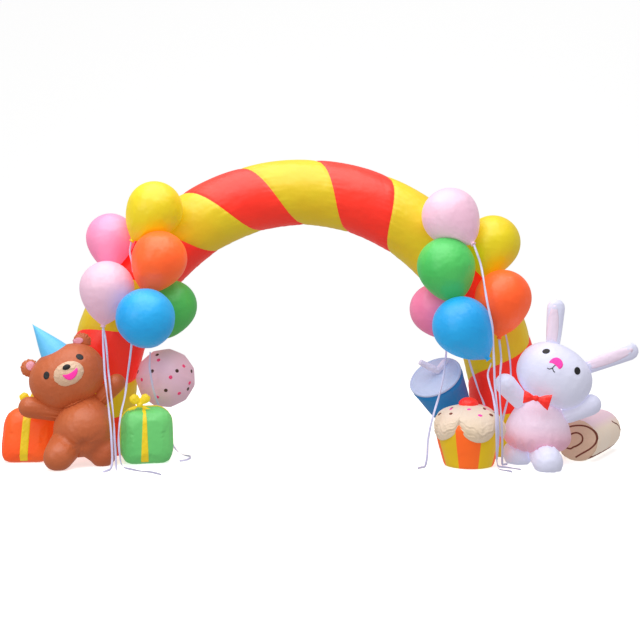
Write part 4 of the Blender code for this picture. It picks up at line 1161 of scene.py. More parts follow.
@dataclass
class Ribbons:
    """The ribbons: narrow strips that twist as they hang and lie flat on the floor."""

    width: float = 0.017
    thickness: float = 0.0012
    step: float = 0.012
    twist: float = 0.62
    lying_height: float = 0.24

    def build(self) -> list[bpy.types.Object]:
        """Models every ribbon.

        Returns:
            The dressed pieces.
        """
        return [self.strip(node, route, 1.7 * number)
                for number, (node, route) in enumerate(RIBBON_ROUTES.items())]

    def strip(self, node: str, route: Sequence[Vec3], seed: float) -> bpy.types.Object:
        """Models one ribbon.

        Args:
            node: the CAD node that it replaces.
            route: the places that it hangs through.
            seed: shifts its twist.

        Returns:
            The dressed piece.
        """
        path = Bench.smooth_path(route, self.step)
        path[:, 2] = np.maximum(path[:, 2], FLOOR_Z)
        along = np.gradient(path, axis=0)
        along /= np.linalg.norm(along, axis=1, keepdims=True)
        run = np.concatenate([[0], np.cumsum(np.linalg.norm(np.diff(path, axis=0), axis=1))])
        lying = np.clip(1 - (path[:, 2] - FLOOR_Z) / self.lying_height, 0, 1)
        across = self._sides(path, along, lying)
        up = np.cross(across, along)
        turn = self.twist * np.sin(math.tau * run / 0.83 + seed) + 0.30 * np.sin(math.tau * run / 0.31 + 2 * seed)
        on_edge = 1.10 + 0.35 * np.sin(math.tau * run / 0.26 + seed)
        turn = (turn * (1 - lying) + on_edge * lying**4)[:, None]
        path[:, 2] += np.abs(np.sin(turn[:, 0])) * lying**4 * self.width / 2
        hanging = (1 - lying)[:, None]
        side = across * np.cos(turn) + up * np.sin(turn)
        out = up * np.cos(turn) - across * np.sin(turn)
        half, thick = self.width / 2, self.thickness / 2
        cup = 0.0022 * hanging
        rows = [path + side * half * a + out * (thick * b + cup * a * a)
                for a, b in ((-1, -1), (-0.5, -1), (0, -1), (0.5, -1), (1, -1),
                             (1, 1), (0.5, 1), (0, 1), (-0.5, 1), (-1, 1))]
        points = np.stack(rows, axis=1).reshape(-1, 3) + np.array(SHIFT)
        points[:, 2] = np.maximum(points[:, 2], 0.0004)
        made = Bench.mesh(f"{node}_strip", points, Bench.tube_faces(len(path), len(rows)))
        Bench.edit(made, lambda: bpy.ops.mesh.normals_make_consistent(inside=False))
        Bench.dress(made, (RIBBON,), (node,))
        return made

    @staticmethod
    def _sides(path: np.ndarray, along: np.ndarray, lying: np.ndarray) -> np.ndarray:
        """The ribbon's sideways direction: its face is to the front in the air and up on the floor.

        Args:
            path: its middle.
            along: its direction.
            lying: how far it lies on the floor, from 0 to 1.

        Returns:
            The directions, one row each.
        """
        landed = int(np.argmax(lying[:-1] > 0.999)) if (lying[:-1] > 0.999).any() else len(path) - 2
        onward = path[landed + 1] - path[landed]
        rows, before = [], np.array((1.0, 0.0, 0.0))
        for i, way in enumerate(along):
            front = np.cross(way, (0, -1, 0))
            flat = np.cross(way if i > landed else onward, (0, 0, 1))
            flat = flat - way * (flat @ way)
            front, flat = (v / max(np.linalg.norm(v), 1e-9) * (1 if v @ before > 0 else -1) for v in (front, flat))
            before = front * (1 - lying[i]) + flat * lying[i]
            before /= np.linalg.norm(before)
            rows.append(before)
        return np.array(rows)


def head_axes(centre: Vec3, turn: float, tilt: float) -> Matrix:
    """A head's own axes: x across the face, z up the head and y into it.

    Args:
        centre: its middle.
        turn: how far it's turned inwards, in degrees.
        tilt: how far it leans to the left, in degrees.

    Returns:
        The matrix.
    """
    return (Matrix.Translation(SHIFT) @ Matrix.Translation(centre) @ Matrix.Rotation(math.radians(turn), 4, "Z")
            @ Matrix.Rotation(-math.radians(tilt), 4, "Y"))


def near_gathers(neighbour: bpy.types.Object, centre: Vector, axis: Vector, pitch: float, depth: float,
                 reach: float, seed: float = 1.0) -> Callable[[np.ndarray], np.ndarray]:
    """Pleats that fan out from where a piece is sewn to its neighbour.

    Args:
        neighbour: what it's sewn to.
        centre: a point on the joint's axis.
        axis: the joint's axis.
        pitch: how many pleats go round.
        depth: how deep they are.
        reach: how far they run.
        seed: shifts them.

    Returns:
        A shape for Bench.gather.
    """
    tree = Bench.tree(neighbour)
    axis = axis.normalized()
    one = axis.orthogonal().normalized()
    other = axis.cross(one)

    def shape(points: np.ndarray) -> np.ndarray:
        """The depth at each point."""
        away = points - np.array(centre)
        around = np.arctan2(away @ np.array(other), away @ np.array(one))
        found = (tree.find_nearest(Vector(p), reach * 4)[3] for p in points)
        apart = np.array([reach * 4 if gap is None else gap for gap in found])
        return depth * ripple(around * pitch / math.tau, seed) * np.exp(-apart / reach)

    return shape


def point_gathers(centre: Vector, axis: Vector, count: float, depth: float, reach: float,
                  dent: float = 0.0, seed: float = 1.0) -> Callable[[np.ndarray], np.ndarray]:
    """Creases that run out from one point, such as a crotch.

    Args:
        centre: the point.
        axis: the way the surface faces there.
        count: how many creases there are.
        depth: how deep they are.
        reach: how far they run.
        dent: how far the point itself is drawn in.
        seed: shifts them.

    Returns:
        A shape for Bench.gather.
    """
    axis = axis.normalized()
    one = axis.orthogonal().normalized()
    other = axis.cross(one)

    def shape(points: np.ndarray) -> np.ndarray:
        """The depth at each point."""
        away = points - np.array(centre)
        apart = np.linalg.norm(away, axis=1)
        around = np.arctan2(away @ np.array(other), away @ np.array(one))
        fade = np.exp(-apart / reach)
        return (depth * ripple(around * count / math.tau, seed) * fade * np.minimum(1, apart / (0.35 * reach))
                + dent * np.exp(-(apart / (0.6 * reach)) ** 2))

    return shape


@dataclass
class Bear:
    """The bear on the left."""

    head_centre: Vec3 = (-1.832, -0.545, 0.684)
    turn: float = 14.0
    tilt: float = 27.0
    voxel: float = 0.0075
    hat_radius: float = 0.116
    hat_height: float = 0.290
    hat_foot: float = 0.196
    hat_lean: float = 9.0
    crotch: Vec3 = (-1.640, -0.815, 0.185)
    belly: Vec3 = (-1.690, -0.545, 0.275)
    belly_radii: Vec3 = (0.240, 0.310, 0.255)
    inner_ears: tuple[Oval, ...] = (Oval(-0.208, 0.203, 0.035, 0.033, 66), Oval(0.200, 0.209, 0.038, 0.024, -18))
    eyes: tuple[Oval, ...] = (Oval(-0.124, 0.094, 0.030, 0.0215, 51), Oval(0.157, 0.103, 0.029, 0.0200, -49))
    mouth: tuple[tuple[float, float], ...] = (
        (-0.015, 0.045), (0.012, 0.035), (0.042, 0.032), (0.075, 0.037), (0.102, 0.043), (0.098, 0.023),
        (0.083, 0.004), (0.058, -0.012), (0.030, -0.017), (0.009, -0.011), (-0.007, 0.007), (-0.014, 0.028),
    )

    def build(self) -> None:
        """Models and dresses the bear."""
        axes = head_axes(self.head_centre, self.turn, self.tilt)
        head = Bench.soft_copy("bear_head_skin", "bear_head", self.voxel, 60, 0.004)
        body = Bench.soft_copy("bear_body_skin", "bear_body", self.voxel, 30, 0.003)
        Bench.apply(body, "SMOOTH", factor=0.5, iterations=260, use_x=False, use_z=False)
        self._belly(body)
        Bench.swell(head, 3.0, 0.005)
        Bench.swell(body, 3.0, 0.007)
        crotch = Vector(self.crotch) + SHIFT
        Bench.gather(body, point_gathers(crotch, Vector((0, -1, 0)), 13, 0.012, 0.07, 0.032))
        Bench.gather(body, near_gathers(head, Vector(self.head_centre) + SHIFT, Vector((0, 0, 1)), 34, 0.014, 0.06))
        Bench.gather(head, near_gathers(body, Vector(self.head_centre) + SHIFT, Vector((0, 0, 1)), 40, 0.009, 0.05))
        Bench.dress(head, (FUR_BROWN,), ("bear_head",), fill=1.0)
        Bench.dress(body, (FUR_BROWN,), ("bear_body",), fill=1.0)
        for side, root in (("left", (-1.80, -0.56, 0.385)), ("right", (-1.64, -0.50, 0.44))):
            arm = Bench.soft_copy(f"bear_arm_{side}_skin", f"bear_arm_{side}", 0.006, 20, 0.003)
            Bench.swell(arm, 3.0, 0.004)
            axis = Vector((-0.29, -0.12, 0.07)) if side == "left" else Vector((0.18, 0.0, 0.19))
            Bench.gather(arm, near_gathers(body, Vector(root) + SHIFT, axis, 15, 0.020, 0.06, 2.0))
            Bench.dress(arm, (FUR_BROWN,), (f"bear_arm_{side}",), fill=1.0)
        self._ears(axes, head)
        self._hat(axes)
        self._face(axes, head)

    def _belly(self, body: bpy.types.Object) -> None:
        """Fills out the belly, so that it hangs over the tops of the legs.

        Args:
            body: the body with its legs.
        """
        points = Bench.points(body)
        away = (points - np.array(Vector(self.belly) + SHIFT)) / np.array(self.belly_radii)
        dome = self.belly[1] + SHIFT.y - self.belly_radii[1] * np.sqrt(
            np.clip(1 - away[:, 0] ** 2 - away[:, 2] ** 2, 0, 1))
        front = (Bench.normals(body)[:, 1] < -0.1) & (away[:, 0] ** 2 + away[:, 2] ** 2 < 1)
        points[front, 1] = np.minimum(points[front, 1], dome[front])
        Bench.place_points(body, points)
        Bench.apply(body, "SMOOTH", factor=0.5, iterations=70, use_x=False, use_z=False)

    def _ears(self, axes: Matrix, head: bpy.types.Object) -> None:
        """Models the ears, gathered round their rims, with their pink middles.

        Args:
            axes: the head's axes.
            head: the head; not used.
        """
        for side, across, pink in zip(("left", "right"), (-0.222, 0.222), self.inner_ears):
            ear = Bench.soft_copy(f"bear_ear_{side}_skin", f"bear_ear_{side}", 0.004, 8)
            middle = axes @ Vector((across, 0.025, 0.188))
            front = axes.to_3x3() @ Vector((0, 1, 0))
            Bench.gather(ear, self._rim(middle, front))
            patch = Drop(axes, ear).patch(f"bear_ear_{side}_pink", pink.outline())
            Bench.dress(ear, (FUR_BROWN,), (f"bear_ear_{side}",), fill=1.0)
            Bench.dress(patch, (EAR_PINK,))

    @staticmethod
    def _rim(middle: Vector, front: Vector) -> Callable[[np.ndarray], np.ndarray]:
        """Short pleats all round an ear's rim.

        Args:
            middle: the ear's middle.
            front: its axis.

        Returns:
            A shape for Bench.gather.
        """
        one = front.orthogonal().normalized()
        other = front.cross(one)

        def shape(points: np.ndarray) -> np.ndarray:
            """The depth at each point."""
            away = points - np.array(middle)
            x, z = away @ np.array(one), away @ np.array(other)
            rim = np.clip((np.hypot(x, z) - 0.036) / 0.030, 0, 1)
            return 0.008 * ripple(np.arctan2(z, x) * 15 / math.tau, 0.4) * rim

        return shape

    def _hat(self, axes: Matrix) -> None:
        """Models the paper-thin party hat, a stuffed cone with one seam.

        Args:
            axes: the head's axes.
        """
        rows = [(0.0, 0.0)] + [(self.hat_radius * k / 6, 0.0) for k in range(1, 6)]
        rows += [(self.hat_radius * (1 - k / 24) * (1 + 0.05 * math.sin(math.pi * k / 24)),
                  self.hat_height * k / 24) for k in range(24)]
        rows += [(0.003, self.hat_height * 0.995), (0.0, self.hat_height)]
        place = (axes @ Matrix.Translation((0, 0, self.hat_foot))
                 @ Matrix.Rotation(-math.radians(self.hat_lean), 4, "Y"))
        hat = Bench.spun("bear_hat_skin", rows, 72, Matrix())
        points = Bench.points(hat)
        around = np.arctan2(points[:, 1], points[:, 0])
        seam = np.exp(-(np.abs(np.angle(np.exp(1j * (around + 0.9)))) / 0.05) ** 2)
        foot = np.exp(-points[:, 2] / 0.025) * ripple(around * 24 / math.tau, 2.0)
        points[:, :2] *= (1 - 0.035 * seam - 0.05 * foot)[:, None]
        Bench.place_points(hat, points)
        hat.data.transform(place)
        Bench.dress(hat, (HAT_BLUE,), ("bear_hat",), fill=0.9)

    def _face(self, axes: Matrix, head: bpy.types.Object) -> None:
        """Models the muzzle and nose and lays on the eyes and the mouth.

        Args:
            axes: the head's axes.
            head: the head.
        """
        muzzle = Bench.soft_copy("bear_muzzle_skin", "bear_muzzle", 0.004, 8)
        nose = Bench.soft_copy("bear_nose_skin", "bear_nose", 0.0022, 6)
        front = axes.to_3x3() @ Vector((0, -1, 0))
        Bench.gather(muzzle, near_gathers(head, axes @ Vector((0.02, 0, 0.03)), front, 46, 0.0025, 0.02))
        Bench.dress(muzzle, (CREAM,), ("bear_muzzle",), fill=0.9)
        Bench.dress(nose, (BLACK,), ("bear_nose",), fill=0.9)
        view = Drop(axes, head)
        for side, eye in zip(("left", "right"), self.eyes):
            Bench.dress(view.patch(f"bear_eye_{side}", eye.outline()), (BLACK,))
        mouth = Drop(axes, muzzle).patch("bear_mouth", self.mouth)
        Bench.dress(mouth, (PRINT_PINK,))


@dataclass
class Rabbit:
    """The rabbit on the right."""

    head_centre: Vec3 = (1.973, -0.575, 0.694)
    turn: float = -13.0
    tilt: float = -31.0
    voxel: float = 0.0075
    ears: tuple[tuple[Vec3, Vec3], ...] = (
        ((-0.108, 0.0, 0.150), (-0.262, 0.0, 0.456)),
        ((0.171, 0.0, 0.172), (0.393, 0.0, 0.461)),
    )
    eyes: tuple[Oval, ...] = (Oval(-0.155, 0.137, 0.0285, 0.0170, 40), Oval(0.117, 0.133, 0.0288, 0.0223, -48))
    nose: tuple[tuple[float, float], ...] = (
        (-0.094, 0.080), (-0.092, 0.107), (-0.078, 0.130), (-0.054, 0.143), (-0.024, 0.140), (-0.001, 0.123),
        (0.006, 0.098), (-0.005, 0.078), (-0.028, 0.084), (-0.054, 0.089), (-0.075, 0.086),
    )
    mouth: tuple[tuple[tuple[float, float], ...], ...] = (
        ((-0.040, 0.092), (-0.0465, 0.083), (-0.0487, 0.075), (-0.0505, 0.067), (-0.0513, 0.059)),
        ((-0.0513, 0.060), (-0.0584, 0.047), (-0.0695, 0.038), (-0.0843, 0.0366)),
        ((-0.0513, 0.060), (-0.0424, 0.049), (-0.0318, 0.0413), (-0.0191, 0.0404)),
    )

    def build(self) -> None:
        """Models and dresses the rabbit."""
        axes = head_axes(self.head_centre, self.turn, self.tilt)
        head = Bench.soft_copy("rabbit_head_skin", "rabbit_head", self.voxel, 60, 0.004)
        dress = Bench.soft_copy("rabbit_dress_skin", "rabbit_dress", self.voxel, 30, 0.003)
        Bench.swell(head, 3.0, 0.005)
        Bench.swell(dress, 3.0, 0.006)
        middle = Vector(self.head_centre) + SHIFT
        Bench.gather(dress, near_gathers(head, middle, Vector((0, 0, 1)), 34, 0.006, 0.05))
        Bench.gather(head, near_gathers(dress, middle, Vector((0, 0, 1)), 38, 0.004, 0.04))
        Bench.gather(dress, self._hem())
        Bench.dress(head, (RABBIT_WHITE,), ("rabbit_head",), fill=1.0)
        Bench.dress(dress, (DRESS,), ("rabbit_dress",), fill=0.95)
        limbs = (("arm_left", (1.75, -0.58, 0.45), (-0.165, -0.04, 0.18)),
                 ("arm_right", (1.96, -0.59, 0.345), (0.28, -0.05, 0.128)),
                 ("leg_left", (1.745, -0.58, 0.20), (-0.04, -0.05, -0.10)),
                 ("leg_right", (1.875, -0.60, 0.19), (0.0, -0.26, -0.09)))
        for name, root, axis in limbs:
            limb = Bench.soft_copy(f"rabbit_{name}_skin", f"rabbit_{name}", 0.006, 24, 0.003)
            Bench.swell(limb, 3.0, 0.004)
            Bench.gather(limb, near_gathers(dress, Vector(root) + SHIFT, Vector(axis), 15, 0.009, 0.04, 0.7))
            Bench.dress(limb, (RABBIT_WHITE,), (f"rabbit_{name}",), fill=1.0)
        self._ears(axes, head)
        self._face(axes, head)
        bow = Bench.soft_copy("rabbit_bow_skin", "rabbit_bow", 0.0035, 5)
        knot = Vector((1.782, -0.812, 0.541)) + SHIFT
        Bench.gather(bow, point_gathers(knot, Vector((0, -1, 0)), 22, 0.007, 0.06, 0.0, 1.9))
        Bench.dress(bow, (TIE_RED,), ("rabbit_bow",), fill=0.8)

    @staticmethod
    def _hem() -> Callable[[np.ndarray], np.ndarray]:
        """The soft folds that rise from the dress's hem.

        Returns:
            A shape for Bench.gather.
        """
        foot = np.array(Vector((1.836, -0.56, 0.0)) + SHIFT)

        def shape(points: np.ndarray) -> np.ndarray:
            """The depth at each point."""
            away = points - foot
            around = np.arctan2(away[:, 1], away[:, 0])
            fade = np.exp(-np.abs(points[:, 2] - 0.15) / 0.055)
            return 0.014 * ripple(around * 19 / math.tau, 0.9) * fade

        return shape

    def _ears(self, axes: Matrix, head: bpy.types.Object) -> None:
        """Models the long ears with their pink middles.

        Args:
            axes: the head's axes.
            head: the head.
        """
        for side, (root, tip) in zip(("left", "right"), self.ears):
            ear = Bench.soft_copy(f"rabbit_ear_{side}_skin", f"rabbit_ear_{side}", 0.005, 10)
            low, high = axes @ Vector(root), axes @ Vector(tip)
            Bench.gather(ear, near_gathers(head, low, high - low, 13, 0.006, 0.05))
            rise = math.degrees(math.atan2(tip[2] - root[2], tip[0] - root[0]))
            pink = Oval((root[0] + tip[0]) / 2 - 0.012 * math.sin(math.radians(rise)),
                        (root[2] + tip[2]) / 2 + 0.012 * math.cos(math.radians(rise)),
                        math.dist(root, tip) / 2 + 0.020, 0.044, rise)
            patch = Drop(axes, ear).patch(f"rabbit_ear_{side}_pink", pink.outline(), 0.0006, rings=6)
            Bench.dress(ear, (RABBIT_WHITE,), (f"rabbit_ear_{side}",), fill=1.0)
            Bench.dress(patch, (EAR_BLUSH,))

    def _face(self, axes: Matrix, head: bpy.types.Object) -> None:
        """Lays on the eyes, the nose and the mouth.

        Args:
            axes: the head's axes.
            head: the head.
        """
        view = Drop(axes, head)
        for side, eye in zip(("left", "right"), self.eyes):
            Bench.dress(view.patch(f"rabbit_eye_{side}", eye.outline()), (BLACK,))
        Bench.dress(view.patch("rabbit_nose", self.nose), (PRINT_PINK,))
        lines = [view.line("line", path, 0.0065) for path in self.mouth]
        Bench.dress(joined(lines, "rabbit_mouth"), (BLACK,))


@dataclass
class Gift:
    """A gift box with a crossed band and a bow.

    Attributes:
        node: the box's CAD node.
        cloth: the box's cloth.
        centre: the middle of its foot.
        size: its width, depth and height.
        turn: how far it's turned, in degrees.
        lean: how far it leans to the right, for each metre up.
        bow_centre: the middle of the bow's knot.
    """

    node: str
    cloth: Cloth
    centre: Vec3
    size: Vec3
    turn: float
    lean: float
    bow_centre: Vec3
    power: float = 6.0
    taper: float = 0.05
    sink: float = 0.012
    band_width: float = 0.062
    band_top: float = 1.0
    band_shift: float = 0.0

    def build(self) -> None:
        """Models and dresses the box, its band and its bow."""
        box = Bench.soft_copy(f"{self.node}_skin", self.node, 0.008, 10)
        Bench.swell(box, 4.0, 0.008)
        points = Bench.points(box)
        points[:, 2] = np.maximum(points[:, 2], 0.0002)
        Bench.place_points(box, points)
        middle = Vector(self.centre) + SHIFT + Vector((0, 0, self.size[2] / 2))
        Bench.gather(box, self._corners(middle))
        Bench.dress(box, (self.cloth,), (self.node,), fill=1.0)
        bands = [self._band(box, way) for way in (True, False)]
        band = joined(bands, f"{self.node}_band_strip")
        Bench.dress(band, (BAND_YELLOW,), (f"{self.node}_band",))
        bow = Bench.soft_copy(f"{self.node}_bow_skin", f"{self.node}_bow", 0.0035, 5)
        knot = Vector(self.bow_centre) + SHIFT
        Bench.gather(bow, point_gathers(knot, Vector((0, -1, 0)), 20, 0.006, 0.05, 0.0, 0.6))
        Bench.dress(bow, (BAND_YELLOW,), (f"{self.node}_bow",), fill=0.8)

    def _corners(self, middle: Vector) -> Callable[[np.ndarray], np.ndarray]:
        """Creases that run in from the box's corners.

        Args:
            middle: the box's middle.

        Returns:
            A shape for Bench.gather.
        """
        turn = math.radians(-self.turn)

        def shape(points: np.ndarray) -> np.ndarray:
            """The depth at each point."""
            away = points - np.array(middle)
            x = (away[:, 0] * math.cos(turn) - away[:, 1] * math.sin(turn)) / self.size[0]
            y = (away[:, 0] * math.sin(turn) + away[:, 1] * math.cos(turn)) / self.size[1]
            z = away[:, 2] / self.size[2]
            shares = np.sort(np.abs(np.stack([x, y, z], axis=1)), axis=1)
            corner = np.clip((shares[:, 0] - 0.22) / 0.2, 0, 1)
            around = np.arctan2(np.abs(y) - np.abs(x), np.abs(z) - np.abs(x))
            return 0.006 * corner * ripple(around * 5, 0.8)

        return shape

    def _band(self, box: bpy.types.Object, across_x: bool) -> bpy.types.Object:
        """One band over the box, laid on its skin.

        Args:
            box: the box's skin.
            across_x: True for the band that comes down the front.

        Returns:
            The strip.
        """
        tree = Bench.tree(box)
        half = [side / 2 for side in self.size]
        place = (Matrix.Translation(SHIFT) @ Matrix.Translation(self.centre)
                 @ Matrix.Translation((0, 0, half[2] - self.sink))
                 @ Matrix.Rotation(math.radians(self.turn), 4, "Z"))
        steps = np.linspace(-0.985, 0.985, 29)
        route = [(-1, z) for z in steps] + [(y, 1) for y in steps[1:-1]] + [(1, z) for z in steps[::-1]]
        lateral = self.band_width / self.size[0 if across_x else 1]
        points, faces = [], []
        for i, (run, up) in enumerate(route):
            narrow = 1 + (self.band_top - 1) * (up + 1) / 2 if across_x else 1.0
            for k in np.linspace(-1, 1, 7):
                cube = ((k * lateral * narrow + self.band_shift, run, up) if across_x
                        else (run, k * lateral, up))
                norm = sum(abs(c) ** self.power for c in cube) ** (1 / self.power)
                x, y, z = (c / norm * 1.02 for c in cube)
                taper = 1 - self.taper * (z + 1) / 2
                at = place @ Vector((x * half[0] * taper + self.lean * (z + 1) * half[2], y * half[1] * taper,
                                     z * half[2]))
                near, normal, _, _ = tree.find_nearest(at)
                lift = 0.0024 if across_x else 0.0042
                spot = near + normal * lift
                points.append((spot.x, spot.y, max(spot.z, 0.004)))
            if i:
                faces += [(7 * i - 7 + k, 7 * i + k, 7 * i + k + 1, 7 * i - 6 + k) for k in range(6)]
        made = Bench.mesh(f"{self.node}_band_{int(across_x)}", points, faces)
        outward = sum(((p.center - Vector(place.translation)).dot(p.normal) for p in made.data.polygons))
        if outward < 0:
            made.data.flip_normals()
        Bench.apply(made, "SOLIDIFY", thickness=0.0016, offset=-1.0)
        return made


GIFTS = (
    Gift("gift_green", GIFT_GREEN, (-1.232, -0.455, 0.0), (0.400, 0.370, 0.440), 14, 0.0, (-1.258, -0.590, 0.462),
         band_top=0.42, band_shift=-0.13),
    Gift("gift_orange", GIFT_ORANGE, (-2.190, -0.400, 0.0), (0.392, 0.370, 0.430), 4, 0.09, (-2.150, -0.480, 0.462)),
)


class Dot(NamedTuple):
    """A printed dot: its place in the view, and whether it's brown."""

    across: float
    up: float
    brown: bool


@dataclass
class SpottedBall:
    """The spotted ball on the left leg's inner side."""

    centre: Vec3 = (-1.132, -0.10, 0.627)
    radius: float = 0.242
    gores: int = 11
    dots: tuple[Dot, ...] = (
        Dot(-0.030, 0.202, True), Dot(-0.003, 0.163, False), Dot(-0.041, 0.077, True), Dot(0.150, 0.077, True),
        Dot(0.186, 0.111, False), Dot(0.229, 0.062, True), Dot(0.069, -0.078, True), Dot(0.158, -0.109, False),
        Dot(0.212, -0.079, True), Dot(0.109, 0.028, False), Dot(0.226, -0.030, False), Dot(-0.140, 0.003, False),
        Dot(-0.200, 0.058, True), Dot(-0.123, -0.134, True), Dot(-0.007, -0.135, False),
    )

    def build(self) -> None:
        """Models and dresses the ball and its dots."""
        rows = [(self.radius * math.sin(a), -self.radius * math.cos(a)) for a in np.linspace(0, math.pi, 61)]
        ball = Bench.spun("ball_skin", rows, 120, Matrix())
        points = Bench.points(ball)
        around = np.arctan2(points[:, 1], points[:, 0])
        panel = np.angle(np.exp(1j * self.gores * around)) / self.gores
        flat = (math.cos(math.pi / self.gores) / np.cos(panel)) ** 0.8
        pole = np.exp(-(self.radius - np.abs(points[:, 2])) / 0.03)
        share = 1.012 * flat - 0.05 * pole * ripple(around * 22 / math.tau, 0.5)
        points[:, :2] *= share[:, None]
        Bench.place_points(ball, points)
        tilt = Matrix.Rotation(math.radians(14), 4, "Z") @ Matrix.Rotation(math.radians(72), 4, "X")
        ball.data.transform(Matrix.Translation(Vector(self.centre) + SHIFT) @ tilt)
        self._press(ball)
        Bench.dress(ball, (BALL_PINK,), ("ball_spotted",), fill=1.0)
        for back in (0, 180):
            place = Matrix.Translation(Vector(self.centre) + SHIFT) @ Matrix.Rotation(math.radians(-9 + back), 4, "Z")
            view = Drop(place, ball)
            for brown, cloth in ((True, DOT_BROWN), (False, DOT_PINK)):
                patches = [view.spot("dot", Oval(d.across, d.up, 0.0150, 0.0150))
                           for d in self.dots if d.brown == brown]
                name = f"ball_dots_{'brown' if brown else 'pink'}_{'back' if back else 'front'}"
                Bench.dress(joined(patches, name), (cloth,))

    def _press(self, ball: bpy.types.Object) -> None:
        """Flattens the ball against the leg behind it."""
        tube = ArchTube()
        span = tube.quarter[0][-1] + tube.leg_height
        line, _, radius = tube.middle_line(np.linspace(-span, span, 401))
        line = line + np.array(SHIFT)
        centre = np.array(Vector(self.centre) + SHIFT)
        nearest = np.argmin(np.linalg.norm(line - centre, axis=1))
        away = centre - line[nearest]
        away /= np.linalg.norm(away)
        points = Bench.points(ball)
        inside = np.maximum(0, radius[nearest] + 0.006 - (points - line[nearest]) @ away)
        Bench.place_points(ball, points + away * inside[:, None])


